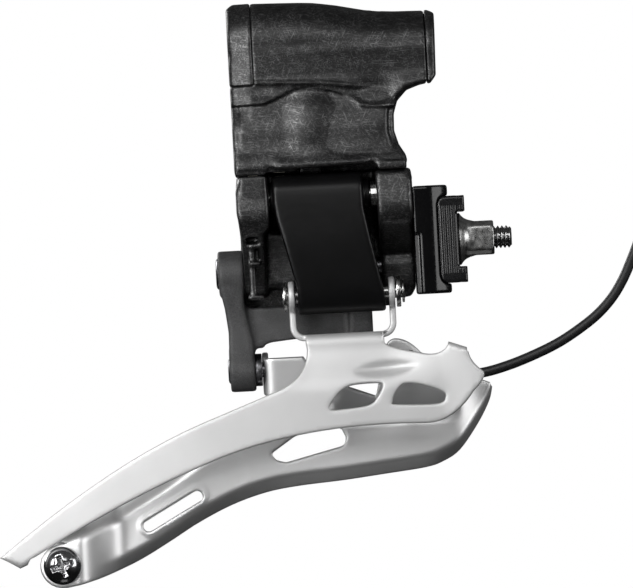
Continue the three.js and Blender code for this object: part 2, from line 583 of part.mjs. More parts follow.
function innerPlate() {
  const body = sheet([-90, 9], 18, [-70, -18], 10, innerFace, SHEET_T);
  const face = plateY(INNER_OUTLINE, [-12, 20], 5);
  const holes = [plateY(outline(BIG_HOLE), [-12, 20]), plateY(slotOutline(), [-12, 20])];
  const ear = discsHull([[D.y, D.z, 3.6], [5.1, -23.8, 0.9], [5.1, -29.6, 0.9]], 14);
  const ears = [plateX(ear, [-40.3, -39]), plateX(ear, [-15.5, -14.2])];
  const bridge = box([-13.4, -7.8], [-2.8, 5.4], [-24.6, -23.4]);
  const tailHole = new THREE.CylinderGeometry(1.6, 1.6, 20, 12).translate(TAIL.x, 0, TAIL.z);
  const rivetHole = new THREE.CylinderGeometry(1.3, 1.3, 20, 12).rotateX(Math.PI / 2);
  add("inner_plate", cut(
    join(cut(body.intersect(face), ...holes), ...ears, bridge),
    rod(PIN_R + 0.25, [-45, -12], D),
    solid(tailHole),
    solid(rivetHole.translate(RIVET.x, RIVET.y, -22)),
  ), SATIN);
}

// A solid turned about an axis along Y through the tail screw: its profile is a list of [y, radius].
function turnedTail(profile, sides = 20) {
  const points = profile.map(([y, r]) => new THREE.Vector2(r, y));
  return solid(new THREE.LatheGeometry(points, sides).translate(TAIL.x, 0, TAIL.z));
}

function tailFasteners() {
  const head = turnedTail([[-8.2, 0], [-7.9, 1.6], [-7, 3.2], [-6.1, 4], [-4.9, 4], [-4.9, 1.3 - BORE], [0.9, 1.3 - BORE], [0.9, 0]]);
  const recess = join(
    box([TAIL.x - 2.2, TAIL.x + 2.2], [-9, -6.9], [TAIL.z - 0.45, TAIL.z + 0.45]),
    box([TAIL.x - 0.45, TAIL.x + 0.45], [-9, -6.9], [TAIL.z - 2.2, TAIL.z + 2.2]),
  );
  add("tail_screw", cut(head, recess), STEEL);
  add("tail_spacer", turnedTail([[-2.7, 1.35], [-2.7, 3], [-2.2, 3], [-2.2, 1.35], [-2.7, 1.35]], 16), STEEL);
  const nut = turnedTail([[-0.3, 0], [-0.3, 2.6], [0.8, 2.6], [0.8, 0]], 6);
  add("tail_nut", cut(nut, turnedTail([[-1, 0], [-1, 1.35], [2, 1.35], [2, 0]])), STEEL);
}

// A rivet through the two folded tongues that join the plates over the chain.
function frontRivet() {
  const points = [
    [-27.2, 0], [-27, 1.9], [-26.5, 2.2], [-26.5, 1.24], [-23.1, 1.24], [-23.1, 2.2], [-22.6, 1.9], [-22.4, 0],
  ];
  const profile = points.map(([z, r]) => new THREE.Vector2(r, z));
  const geometry = new THREE.LatheGeometry(profile, 14).rotateX(Math.PI / 2);
  add("front_rivet", solid(geometry.translate(RIVET.x, RIVET.y, 0)), STEEL);
}

// Housing screws along Z, from below, through the fixed body's back wall.
function housingScrews() {
  const places = [[-33, 9.6], [-19, 9.6]];
  places.forEach(([x, y], i) => {
    const profile = [[9.6, 0], [9.6, 2], [11.2, 2], [12.4, 1.9], [12.4, 0]];
    const points = profile.map(([z, r]) => new THREE.Vector2(r, z));
    const geometry = new THREE.LatheGeometry(points, 12).rotateX(Math.PI / 2);
    add(`housing_screw_${i + 1}`, solid(geometry.translate(x, y - 1.6, 0)), STEEL);
  });
}

// Lead: a strain relief on the back wall, a free tube, then the spare length as a round coil.
const LEAD_START = new THREE.Vector3(-20, 15.6, -3.3);
const LEAD_ROUTE = [
  [-20, 15.6, -3.3], [-20, 15.6, -8], [-19.8, 15.5, -13], [-18.4, 15.2, -17.6],
  [-15.4, 14.7, -21.8], [-11.1, 14, -25.1], [-6, 13.2, -27.4], [-0.5, 12.5, -28.5],
  [5.7, 11.8, -28.2], [11.3, 11.2, -26.9], [17, 10.7, -24.9], [22, 10.3, -22.7],
  [26.4, 10, -20.1], [30.4, 9.8, -17.2], [33.7, 9.7, -13.8], [36.2, 9.6, -10],
  [38.3, 9.6, -5.7], [40.6, 9.6, -0.6], [43.6, 9.6, 4.5], [48, 9.6, 8.6],
  [54, 9.6, 10.3], [60, 9.7, 8.4], [64.3, 9.7, 3.8], [66.2, 9.7, -2.9],
];

function lead() {
  const block = box([-23, -17], [12.8 + GAP, 18], [-1.6, 6.4]);
  const sleeve = new THREE.CylinderGeometry(2.3, 1.9, 1.6, 16).rotateX(Math.PI / 2);
  const collar = solid(sleeve.translate(LEAD_START.x, LEAD_START.y, -2.2));
  add("lead_strain_relief", join(block, collar), RUBBER);
  const path = new THREE.CatmullRomCurve3(LEAD_ROUTE.map((p) => new THREE.Vector3(...p)));
  const section = new THREE.Shape();
  section.absarc(0, 0, CORD_R, 0, 2 * Math.PI, false);
  const tube = new THREE.ExtrudeGeometry(section, {
    steps: 36, bevelEnabled: false, curveSegments: 4, extrudePath: path,
  });
  add("lead_tube", solid(tube), RUBBER);
}

function leadCoil() {
  const y1 = COIL.y0 + COIL.turns * COIL.pitch + 2 * CORD_R + 0.2;
  const inner = COIL.r - CORD_R - 0.1;
  const outer = COIL.r + CORD_R + 0.1;
  const profile = [[inner, COIL.y0], [outer, COIL.y0], [outer, y1], [inner, y1], [inner, COIL.y0]];
  const points = profile.map(([r, y]) => new THREE.Vector2(r, y));
  const geometry = new THREE.LatheGeometry(points, 24).translate(COIL.x, 0, COIL.z);
  add("lead_coil", solid(geometry), RUBBER);
  const top = COIL.z + COIL.r;
  const band = box([COIL.x - 1.5, COIL.x + 1.5], [COIL.y0 - 1.2, y1 + 1.2], [top - 2.6, top + 2.6]);
  const inside = box([COIL.x - 3, COIL.x + 3], [COIL.y0 - 0.4, y1 + 0.4], [top - 1.8, top + 1.6]);
  add("coil_tie", cut(band, inside), RUBBER);
  const plugX = COIL.x + COIL.r;
  const plug = box([plugX - 2.6, plugX + 2.6], [y1 + 0.4, y1 + 4.6], [COIL.z - 21, COIL.z - 8]);
  const nose = box([plugX - 1.9, plugX + 1.9], [y1 + 1.1, y1 + 3.9], [COIL.z - 24, COIL.z - 20.9]);
  add("lead_connector", join(plug, nose), BLACK);
}

motorHousing();
endCaps();
motorUnit();
gearTrain();
fixedBody();
driveShaft();
brazeOnBlock();
clampSaddle();
studAndNut();
outerLink();
innerLink();
linkPins();
outerPlate();
innerPlate();
tailFasteners();
frontRivet();
housingScrews();
lead();
leadCoil();

export default assembly;
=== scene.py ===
"""Looks of a motorised front derailleur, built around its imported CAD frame.

Shapes are in millimetres: X runs forwards along the pivots, Y inboard and Z up.
"""

import json
import math

import bpy
import numpy as np
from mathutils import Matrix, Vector, geometry


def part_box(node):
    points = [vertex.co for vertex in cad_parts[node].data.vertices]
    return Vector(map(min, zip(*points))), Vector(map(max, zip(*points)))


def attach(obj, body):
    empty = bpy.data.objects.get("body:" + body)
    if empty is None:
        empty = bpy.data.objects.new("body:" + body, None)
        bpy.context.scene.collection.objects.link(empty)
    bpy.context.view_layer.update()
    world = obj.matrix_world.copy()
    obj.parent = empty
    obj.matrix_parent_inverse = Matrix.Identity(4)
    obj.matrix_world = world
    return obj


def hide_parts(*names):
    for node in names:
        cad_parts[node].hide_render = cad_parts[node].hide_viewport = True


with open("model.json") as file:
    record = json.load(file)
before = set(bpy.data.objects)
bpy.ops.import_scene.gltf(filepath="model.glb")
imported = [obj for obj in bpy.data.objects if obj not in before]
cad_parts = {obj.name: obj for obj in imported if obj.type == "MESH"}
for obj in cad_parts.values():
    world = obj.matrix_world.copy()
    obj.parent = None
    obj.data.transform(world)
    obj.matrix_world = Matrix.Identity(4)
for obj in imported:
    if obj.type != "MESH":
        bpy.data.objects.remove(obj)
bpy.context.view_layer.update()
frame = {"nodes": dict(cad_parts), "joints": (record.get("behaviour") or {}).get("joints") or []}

MM = 0.001


def span(node):
    """Lowest and highest corner of a CAD node, in millimetres."""
    lo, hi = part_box(node)
    return np.array(lo) / MM, np.array(hi) / MM


def pivot(joint):
    """Place of a joint's axis in its (y, z) plane, in millimetres."""
    for entry in frame["joints"]:
        if entry["name"] == joint:
            return entry["pos_m"][1] / MM, entry["pos_m"][2] / MM
    raise KeyError(joint)


A = pivot("outer_link_swing")
B = pivot("inner_link_swing")
C = pivot("cage_swing")
D = tuple(sum(span("lower_rear_pin")[k][i] for k in (0, 1)) / 2 for i in (1, 2))
MOTOR = pivot("motor_pinion_spin")
TAIL_X, _, TAIL_Z = (span("tail_screw")[0] + span("tail_screw")[1]) / 2
PIN_R = 1.6
PIN_BORE = PIN_R + 0.05


# ---- camera and light

FIELD_WIDTH = 131.875 * MM
FIELD_CENTRE = (-28.2 * MM, -9.9 * MM)
CAMERA_ROLL = math.radians(3)
CAMERA_DISTANCE = 1.6
SENSOR = 36.0
FLOOR_Z = -1.6
FLOOR_HALF = 0.3


def make_camera():
    """A long lens that looks inboard, square to the pivots, and is rolled a little."""
    data = bpy.data.cameras.new("camera")
    data.sensor_width = SENSOR
    data.lens = SENSOR * CAMERA_DISTANCE / FIELD_WIDTH
    data.clip_start, data.clip_end = 0.01, 100
    camera = bpy.data.objects.new("camera", data)
    camera.location = (FIELD_CENTRE[0], -CAMERA_DISTANCE, FIELD_CENTRE[1])
    camera.rotation_euler = (math.pi / 2, CAMERA_ROLL, 0)
    bpy.context.scene.collection.objects.link(camera)
    bpy.context.scene.camera = camera


def area_light(name, place, target, size, power):
    data = bpy.data.lights.new(name, "AREA")
    data.shape = "RECTANGLE"
    data.size, data.size_y = size
    data.energy = power
    light = bpy.data.objects.new(name, data)
    light.location = place
    light.rotation_euler = (Vector(target) - Vector(place)).to_track_quat("-Z", "Y").to_euler()
    bpy.context.scene.collection.objects.link(light)


def make_world():
    """White to the camera, and a dim glow from above to everything else."""
    world = bpy.data.worlds.new("studio")
    bpy.context.scene.world = world
    world.use_nodes = True
    nodes, links = world.node_tree.nodes, world.node_tree.links
    nodes.clear()
    seen, lit = (nodes.new("ShaderNodeBackground") for _ in range(2))
    for background in (seen, lit):
        background.inputs["Color"].default_value = (1, 1, 1, 1)
    direction = nodes.new("ShaderNodeTexCoord")
    parts = nodes.new("ShaderNodeSeparateXYZ")
    fade = nodes.new("ShaderNodeMapRange")
    for key, value in (("From Min", -0.5), ("From Max", 0.6), ("To Min", 0.01), ("To Max", 0.08)):
        fade.inputs[key].default_value = value
    path = nodes.new("ShaderNodeLightPath")
    mix = nodes.new("ShaderNodeMixShader")
    out = nodes.new("ShaderNodeOutputWorld")
    links.new(direction.outputs["Generated"], parts.inputs[0])
    links.new(parts.outputs["Z"], fade.inputs["Value"])
    links.new(fade.outputs[0], lit.inputs["Strength"])
    links.new(path.outputs["Is Camera Ray"], mix.inputs[0])
    links.new(lit.outputs[0], mix.inputs[1])
    links.new(seen.outputs[0], mix.inputs[2])
    links.new(mix.outputs[0], out.inputs["Surface"])


def make_studio():
    middle, tail, housing = (-0.03, 0, -0.01), (-0.085, 0, -0.055), (-0.04, -0.01, 0.02)
    area_light("key", (-0.55, -1.0, 0.66), middle, (0.3, 0.3), 4.6)
    area_light("left", (-0.95, -0.7, 0.3), middle, (0.2, 0.5), 2.8)
    area_light("near_left", (-0.135, -0.12, -0.04), tail, (0.03, 0.06), 0.035)
    area_light("near_front", (-0.15, -0.28, -0.04), (-0.08, 0, -0.055), (0.08, 0.12), 0.1)
    area_light("near_top", (-0.125, -0.12, 0.02), housing, (0.03, 0.06), 0.06)
    area_light("front", (0.05, -1.2, 0.52), middle, (0.6, 0.4), 1.8)
    area_light("right", (1.1, -0.65, 0.2), middle, (0.7, 0.7), 5.5)
    area_light("back", (-0.8, 0.75, 0.4), middle, (0.5, 0.5), 5.0)
    make_world()
    bpy.context.scene.view_settings.view_transform = "Standard"
    mesh = bpy.data.meshes.new("floor")
    signs = ((-1, -1), (1, -1), (1, 1), (-1, 1))
    corners = [(x * FLOOR_HALF, y * FLOOR_HALF, FLOOR_Z) for x, y in signs]
    mesh.from_pydata(corners, [], [(0, 1, 2, 3)])
    floor = bpy.data.objects.new("floor", mesh)
    mesh.materials.append(floor_material())
    bpy.context.scene.collection.objects.link(floor)


# ---- materials


class Shader:
    """A node material built step by step around one Principled shader."""

    def __init__(self, name):
        self.material = bpy.data.materials.new(name)
        self.material.use_nodes = True
        self.nodes = self.material.node_tree.nodes
        self.links = self.material.node_tree.links
        self.surface = self.nodes["Principled BSDF"]
        self.place = self.nodes.new("ShaderNodeTexCoord").outputs["Object"]

    def set(self, **sockets):
        for key, value in sockets.items():
            self.surface.inputs[key.replace("_", " ")].default_value = value

    def link(self, source, socket):
        self.links.new(source, self.surface.inputs[socket])

    def node(self, kind, socket, source, **values):
        """A new node with a source linked to one socket and values set on others."""
        node = self.nodes.new(kind)
        for key, value in values.items():
            node.inputs[key.replace("_", " ")].default_value = value
        self.links.new(source, node.inputs[socket])
        return node

    def moved(self, turn=(0, 0, 0), scale=(1, 1, 1)):
        turned = self.node("ShaderNodeMapping", "Vector", self.place, Rotation=turn)
        return self.node("ShaderNodeMapping", "Vector", turned.outputs[0], Scale=scale).outputs[0]

    def noise(self, scale, detail=3, roughness=0.55, vector=None):
        values = {"Scale": scale, "Detail": detail, "Roughness": roughness}
        return self.node("ShaderNodeTexNoise", "Vector", vector or self.place, **values).outputs["Fac"]

    def cells(self, scale):
        return self.node("ShaderNodeTexVoronoi", "Vector", self.place, Scale=scale).outputs["Color"]

    def remap(self, value, low, high, to_low=0.0, to_high=1.0):
        values = {"From_Min": low, "From_Max": high, "To_Min": to_low, "To_Max": to_high}
        return self.node("ShaderNodeMapRange", "Value", value, **values).outputs[0]

    def math(self, operation, first, second):
        node = self.nodes.new("ShaderNodeMath")
        node.operation = operation
        for socket, value in zip(node.inputs, (first, second)):
            if isinstance(value, (int, float)):
                socket.default_value = value
            else:
                self.links.new(value, socket)
        return node.outputs[0]

    def blend(self, factor, low, high):
        node = self.nodes.new("ShaderNodeMix")
        node.data_type = "RGBA"
        self.links.new(factor, node.inputs["Factor"])
        node.inputs[6].default_value = (*low, 1)
        node.inputs[7].default_value = (*high, 1)
        return node.outputs[2]

    def bump(self, height, strength, distance):
        node = self.node("ShaderNodeBump", "Height", height, Strength=strength, Distance=distance)
        self.link(node.outputs[0], "Normal")

    def skin(self, tone, low, high, fine, roughness, relief):
        """Colour that follows one pattern, and roughness and relief that follow a finer one."""
        self.link(self.blend(tone, low, high), "Base Color")
        self.link(self.remap(fine, 0.3, 0.7, *roughness), "Roughness")
        self.bump(fine, *relief)
        return self.material


def floor_material():
    shader = Shader("floor")
    shader.set(Base_Color=(0.86, 0.86, 0.86, 1), Roughness=0.9, Metallic=0)
    return shader.material


def carbon_polymer():
    """Black moulding filled with short carbon fibres that catch the light in every direction."""
    shader = Shader("carbon_polymer")
    streaks = None
    turns = [
        (0.3, 0.4, 0.2), (0.5, 1.2, 0.9), (1.1, 2.1, 0.3),
        (0.2, 2.7, 1.7), (1.5, 0.8, 2.4), (2.2, 1.6, 0.5),
    ]
    for turn in turns:
        vector = shader.moved(turn, (1, 1, 0.1))
        fibre = shader.remap(shader.noise(3600, 1, 0.5, vector), 0.6, 0.78)
        streaks = fibre if streaks is None else shader.math("MAXIMUM", streaks, fibre)
    cloud = shader.remap(shader.noise(330, 4, 0.65), 0.38, 0.7)
    grain = shader.remap(shader.noise(2600, 3, 0.7), 0.35, 0.7, 0.3, 1.0)
    fibres = shader.math("MULTIPLY", streaks, shader.remap(cloud, 0, 1, 0.3, 1.0))
    haze = shader.math("MULTIPLY", grain, shader.remap(cloud, 0, 1, 0.03, 0.14))
    specks = shader.math("ADD", fibres, haze)
    shader.link(shader.blend(specks, (0.001, 0.001, 0.0011), (0.045, 0.045, 0.046)), "Base Color")
    shader.link(shader.remap(specks, 0, 1, 0.4, 0.3), "Roughness")
    shader.link(shader.remap(specks, 0, 1, 0.5, 2.0), "Specular IOR Level")
    shader.bump(specks, 0.3, 0.00006)
    return shader.material


def painted(name, color, roughness, grain, sheen):
    """A smooth dark coat with faint grain."""
    shader = Shader(name)
    fine = shader.noise(grain, 4, 0.6)
    tone = shader.remap(shader.noise(180, 3, 0.5), 0.35, 0.65)
    lighter = tuple(channel * 1.35 for channel in color)
    rough = (roughness - 0.05, roughness + 0.07)
    shader.set(Specular_IOR_Level=sheen)
    return shader.skin(tone, color, lighter, fine, rough, (0.08, 0.00002))


def sand_casting():
    """Dark grey casting with a fine sandy skin."""
    shader = Shader("dark_casting")
    grit = shader.noise(6500, 2, 0.6)
    broad = shader.remap(shader.noise(500, 3, 0.6), 0.3, 0.7, 0.6, 1.0)
    shade = shader.math("MULTIPLY", shader.remap(grit, 0.3, 0.7), broad)
    shader.set(Metallic=0.1, Specular_IOR_Level=0.6)
    dark, light = (0.012, 0.012, 0.0122), (0.1, 0.1, 0.102)
    return shader.skin(shade, dark, light, grit, (0.5, 0.66), (0.35, 0.00006))


def bead_blasted(name, dark, light, roughness, metallic):
    """Satin aluminium sheet, blasted with fine beads."""
    shader = Shader(name)
    grain = shader.noise(5200, 3, 0.65)
    tone = shader.remap(shader.noise(60, 3, 0.5), 0.3, 0.7)
    shader.set(Metallic=metallic)
    return shader.skin(tone, dark, light, grain, (roughness - 0.02, roughness + 0.03), (0.03, 0.00001))


def turned_metal(name, color, roughness):
    """Machined metal with fine marks round its axis."""
    shader = Shader(name)
    marks = shader.noise(900, 3, 0.6, shader.moved(scale=(8, 1, 1)))
    tone = shader.remap(shader.noise(700, 3, 0.6), 0.35, 0.65)
    darker = tuple(channel * 0.72 for channel in color)
    shader.set(Metallic=1.0)
    return shader.skin(tone, darker, color, marks, (roughness - 0.07, roughness + 0.1), (0.15, 0.00003))


def galvanised():
    """Zinc plate, in soft crystals of different greys."""
    shader = Shader("zinc")
    crystals = shader.remap(shader.cells(1500), 0.1, 0.9, 0.6, 1.0)
    cloud = shader.noise(900, 4, 0.65)
    mixed = shader.math("MULTIPLY", crystals, shader.remap(cloud, 0.3, 0.7, 0.5, 1.0))
    shader.set(Metallic=1.0)
    return shader.skin(mixed, (0.12, 0.12, 0.12), (0.6, 0.6, 0.59), cloud, (0.24, 0.42), (0.2, 0.00005))


def rubbery(name, color, roughness):
    """Dull rubber or plastic."""
    shader = Shader(name)
    fine = shader.noise(3000, 3, 0.6)
    lighter = tuple(channel * 1.6 for channel in color)
    tone = shader.remap(fine, 0.3, 0.7)
    return shader.skin(tone, color, lighter, fine, (roughness - 0.06, roughness + 0.08), (0.1, 0.00003))


FINISHES = {}


def make_finishes():
    FINISHES.update(
        carbon=carbon_polymer(),
        satin_black=painted("satin_black", (0.003, 0.003, 0.0032), 0.34, 2600, 0.28),
        gloss_black=painted("gloss_black", (0.0025, 0.0025, 0.0028), 0.14, 1800, 0.4),
        casting=sand_casting(),
        # The outer and inner plates' silvers are one cage silver in two brightnesses: the inner plate's
        # copy is painted lighter, as painted light that makes up for the shade the outer plate casts on
        # it.
        outer_silver=bead_blasted("outer_silver", (0.64, 0.64, 0.64), (0.7, 0.7, 0.7), 0.55, 0.6),
        inner_silver=bead_blasted("inner_silver", (0.84, 0.84, 0.84), (0.92, 0.92, 0.92), 0.46, 0.94),
        steel=turned_metal("steel", (0.68, 0.68, 0.67), 0.24),
        dark_steel=turned_metal("dark_steel", (0.2, 0.2, 0.21), 0.3),
        thread_steel=turned_metal("thread_steel", (0.5, 0.5, 0.5), 0.18),
        zinc=galvanised(),
        dark_chrome=turned_metal("dark_chrome", (0.5, 0.5, 0.51), 0.16),
        bronze=turned_metal("bronze", (0.62, 0.42, 0.2), 0.35),
        rubber=rubbery("black_rubber", (0.007, 0.007, 0.0075), 0.5),
        nylon=rubbery("nylon", (0.6, 0.58, 0.5), 0.5),
        board=rubbery("board", (0.01, 0.09, 0.03), 0.35),
        saddle_black=painted("saddle_black", (0.005, 0.005, 0.0055), 0.24, 1800, 0.5),
    )


# ---- mesh making


def mesh_object(name, vertices, faces, finish):
    """A smooth-shaded object from vertices in millimetres."""
    mesh = bpy.data.meshes.new(name)
    mesh.from_pydata((np.asarray(vertices) * MM).tolist(), [], faces)
    mesh.validate()
    mesh.materials.append(FINISHES[finish])
    mesh.polygons.foreach_set("use_smooth", [True] * len(mesh.polygons))
    thing = bpy.data.objects.new(name, mesh)
    bpy.context.scene.collection.objects.link(thing)
    return thing


def settle(thing, body, slot, *nodes):
    """Puts a piece on its body and hides the CAD nodes it stands for; its slot is not used."""
    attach(thing, body)
    if nodes:
        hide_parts(*nodes)
    return thing


def smin(a, b, k):
    """Smooth union of two distance fields, filleted over about k."""
    h = np.clip(0.5 + 0.5 * (b - a) / k, 0, 1)
    return b + (a - b) * h - k * h * (1 - h)


def smax(a, b, k):
    return -smin(-a, -b, k)


def step(a, b, value):
    t = np.clip((value - a) / (b - a), 0, 1)
    return t * t * (3 - 2 * t)


def bell(offset, width):
    """A smooth bump of height 1, as wide as its width to either side."""
    return np.exp(-((offset / width) ** 2))


def polygon(points):
    """Signed distance to a closed outline, as a function of its two coordinates."""
    start = np.array(points, float)
    ends = np.roll(start, -1, axis=0)

    def distance(u, v):
        shape = np.broadcast(u, v).shape
        best = np.full(shape, 1e9)
        inside = np.zeros(shape, bool)
        for (au, av), (bu, bv) in zip(start, ends):
            eu, ev = bu - au, bv - av
            wu, wv = u - au, v - av
            t = np.clip((wu * eu + wv * ev) / (eu * eu + ev * ev), 0, 1)
            best = np.minimum(best, (wu - eu * t) ** 2 + (wv - ev * t) ** 2)
            if av != bv:
                between = (np.minimum(av, bv) <= v) & (v < np.maximum(av, bv))
                inside ^= between & (u < au + (v - av) * eu / ev)
        return np.where(inside, -1, 1) * np.sqrt(best)

    return distance


def catmull_rom(p0, p1, p2, p3, steps):
    """Points from p1 up to p2 on a smooth curve through all four."""
    out = []
    for t in (i / steps for i in range(steps)):
        bend = (2 * p0 - 5 * p1 + 4 * p2 - p3) * t**2
        out.append(0.5 * (2 * p1 + (p2 - p0) * t + bend + (3 * p1 - p0 - 3 * p2 + p3) * t**3))
    return out


def smooth_closed(points, per_side=6):
    """A smooth closed curve through the points."""
    p = np.array(points, float)
    count = len(p)
    out = []
    for i in range(count):
        out += catmull_rom(*(p[(i + k) % count] for k in (-1, 0, 1, 2)), per_side)
    return [tuple(q) for q in out]


def smooth_run(points, per_span):
    """A smooth open curve through the points."""
    p = np.array([points[0], *points, points[-1]], float)
    out = []
    for i in range(1, len(p) - 2):
        out += catmull_rom(*p[i - 1:i + 3], per_span)
    return out + [p[-2]]


def quadratic(p0, p1, p2, t):
    """Point on a curve from p0 to p2 that is drawn towards p1."""
    return tuple((1 - t) ** 2 * p0 + 2 * t * (1 - t) * p1 + t * t * p2)


def turned_axes(u, v, centre, angle):
    """Coordinates (u, v) from a centre, along axes turned by an angle."""
    du, dv = u - centre[0], v - centre[1]
    return du * math.cos(angle) + dv * math.sin(angle), -du * math.sin(angle) + dv * math.cos(angle)


def disc_hull(discs, steps=40):
    """Outline of the hull of several discs given as (u, v, radius)."""
    points = sorted(
        (u + r * math.cos(2 * math.pi * i / steps), v + r * math.sin(2 * math.pi * i / steps))
        for u, v, r in discs
        for i in range(steps)
    )

    def half(chain_points):
        chain = []
        for p in chain_points:
            while len(chain) > 1:
                (ou, ov), (qu, qv) = chain[-2], chain[-1]
                if (qu - ou) * (p[1] - ov) - (qv - ov) * (p[0] - ou) > 1e-9:
                    break
                chain.pop()
            chain.append(p)
        return chain[:-1]

    return half(points) + half(points[::-1])


def rod_x(x, y, z, centre, radius, low, high):
    """Distance to a cylinder along X."""
    across = np.hypot(y - centre[0], z - centre[1]) - radius
    return np.maximum(across, np.abs(x - (low + high) / 2) - (high - low) / 2)


def bored(form, x, y, z, *bores):
    """The form less cylinders along X, each given as (centre, radius, low, high)."""
    for bore in bores:
        form = np.maximum(form, -rod_x(x, y, z, *bore))
    return form


def block(x, y, z, low, high, radius=0.0):
    """Distance to a box with rounded edges."""
    parts = []
    for value, a, b in zip((x, y, z), low, high):
        parts.append(np.abs(value - (a + b) / 2) - (b - a) / 2 + radius)
    outside = np.sqrt(sum(np.maximum(part, 0) ** 2 for part in parts))
    inside = np.minimum(np.maximum(np.maximum(parts[0], parts[1]), parts[2]), 0)
    return outside + inside - radius


def cell_edges():
    """The twelve edges of a unit cell, as pairs of corners."""
    edges = []
    for axis, q, p in ((axis, q, p) for axis in range(3) for q in (0, 1) for p in (0, 1)):
        edges.append(tuple((*(p, q)[:axis], end, *(p, q)[axis:]) for end in (0, 1)))
    return edges


def surface_of(field, low, cell):
    """Vertices and quads of a field's zero surface, one vertex in each cell it crosses."""
    nx, ny, nz = field.shape

    def corner(c):
        return field[c[0]:nx - 1 + c[0], c[1]:ny - 1 + c[1], c[2]:nz - 1 + c[2]]

    inside = field < 0
    count = sum(
        inside[i:nx - 1 + i, j:ny - 1 + j, k:nz - 1 + k].astype(np.int8)
        for i in (0, 1) for j in (0, 1) for k in (0, 1)
    )
    active = (count > 0) & (count < 8)
    where = np.argwhere(active)
    total = np.zeros((len(where), 3))
    crossings = np.zeros(len(where))
    for a, b in cell_edges():
        da, db = corner(a)[active], corner(b)[active]
        cross = (da < 0) != (db < 0)
        t = np.where(cross, da / np.where(cross, da - db, 1), 0)
        point = np.array(a) + t[:, None] * (np.array(b) - np.array(a))
        total += point * cross[:, None]
        crossings += cross
    vertices = low + cell * (where + total / crossings[:, None])
    index = np.full(active.shape, -1)
    index[active] = np.arange(len(where))
    quads = []
    for axis in range(3):
        u, v = (axis + 1) % 3, (axis + 2) % 3
        sliced = [slice(1, -1)] * 3
        sliced[axis] = slice(0, -1)
        start = inside[tuple(sliced)]
        sliced[axis] = slice(1, None)
        end = inside[tuple(sliced)]
        places = np.argwhere(start != end)
        leaving = start[tuple(places.T)]
        places[:, u] += 1
        places[:, v] += 1
        around = []
        for du, dv in ((-1, -1), (0, -1), (0, 0), (-1, 0)):
            shifted = places.copy()
            shifted[:, u] += du
            shifted[:, v] += dv
            around.append(index[tuple(shifted.T)])
        quad = np.stack(around, axis=1)
        quad[~leaving] = quad[~leaving][:, ::-1]
        quads.append(quad)
    return vertices, np.concatenate(quads).tolist()


def softened(field, passes):
    """The field blurred a little, which rounds every edge and corner."""
    for _ in range(passes):
        for axis in range(3):
            field = (np.roll(field, 1, axis) + 2 * field + np.roll(field, -1, axis)) / 4
    return field


def cast(name, shape, low, high, cell, finish, soften=1):
    """A solid whose surface is where shape(x, y, z) is zero."""
    low = np.array(low, float) - 3 * cell
    steps = np.ceil((np.array(high, float) + 3 * cell - low) / cell).astype(int) + 1
    x, y, z = (low[k] + cell * np.arange(steps[k]) for k in range(3))
    field = shape(x[:, None, None], y[None, :, None], z[None, None, :])
    field = softened(np.broadcast_to(field, tuple(steps)).astype(np.float64), soften)
    vertices, quads = surface_of(field, low, cell)
    return mesh_object(name, vertices, quads, finish)


CARBON = ("carbon", "carbon_polymer")
SATIN_BLACK = ("satin_black", "satin_black")
GLOSS_BLACK = ("gloss_black", "gloss_black")
CASTING = ("casting", "dark_casting")
SADDLE_BLACK = ("saddle_black", "dark_casting")
ZINC = ("zinc", "zinc")
CHROME = ("dark_chrome", "dark_chrome")
RUBBER = ("rubber", "black_rubber")


def cast_node(node, name, shape, margin, cell, look, body="root"):
    """Casts the piece that stands for a CAD node, a margin below and above the node's box."""
    low, high = span(node)
    finish, slot = look
    thing = cast(name, shape, low - margin[0], high + margin[1], cell, finish)
    return settle(thing, body, slot, node)


# ---- motor housing

HOUSING_SIDE = [
    (-44.2, 15.7), (-37.2, 15.6), (-36.2, 16.4), (-15.4, 16.9), (-14.6, 15.7), (-8.1, 15.7),
    (-7.6, 16.8), (-7.9, 18.2), (-9.2, 20.4), (-10, 23.2), (-9.9, 26.6), (-9, 29.4), (-7, 31.5),
    (-4.4, 32.4), (-2, 32.8), (-0.9, 34.2), (-0.6, 47.4), (-2.2, 48.5), (-15, 49.2), (-21, 50.5),
    (-26, 51.2), (-38.6, 51.8), (-42.8, 51.7), (-44.3, 50.2),
]
SHELL_EDGE = [
    (-45, 29.5), (-36.9, 29.6), (-33.5, 30.8), (-30.5, 32.0), (-27.3, 32.2),
    (-23, 31.3), (-20.2, 30.3), (-17.1, 28.2), (-14, 27.8), (0, 27.7),
]
REAR_CAP_X = span("rear_end_cap")[1][0]
FRONT_CAP_X = span("front_end_cap")[0][0]


def barrel_axis(x):
    """Height of the barrel's axis, which falls a little towards the front."""
    return 43.0 - 2.2 * step(-30, -8, x)


def housing_body(x, y, z, inset=0.0):
    """The whole housing as one form, before it is parted into shell and caps."""
    radius = 8.8 - 1.0 * step(-30, -8, x)
    barrel = np.hypot(y - MOTOR[0], z - barrel_axis(x)) - radius
    front = -10.2 + 0.8 * step(16, 24, z) + 2.2 * step(23, 34, z) + 0.3 * step(33, 36, z)
    front = front + 1.1 * step(-20, -6, x) * step(30, 20, z) + step(-30, -8, x) * step(30, 36, z)
    back = 12.8 - 0.8 * step(16, 24, z) - 1.8 * step(23, 34, z)
    slab = smax(front - y, y - back, 2.5)
    slab = smax(slab, z - 42 + 0.3 * np.maximum(y, 0), 2.0)
    form = smin(barrel, slab, 1.0) + inset
    form = form + 0.3 * np.maximum(-39.5 - x, 0) * step(24, 30, z) * step(2, -4, y)
    side = polygon(HOUSING_SIDE)(x, z)
    return smax(form, side, 1.1)


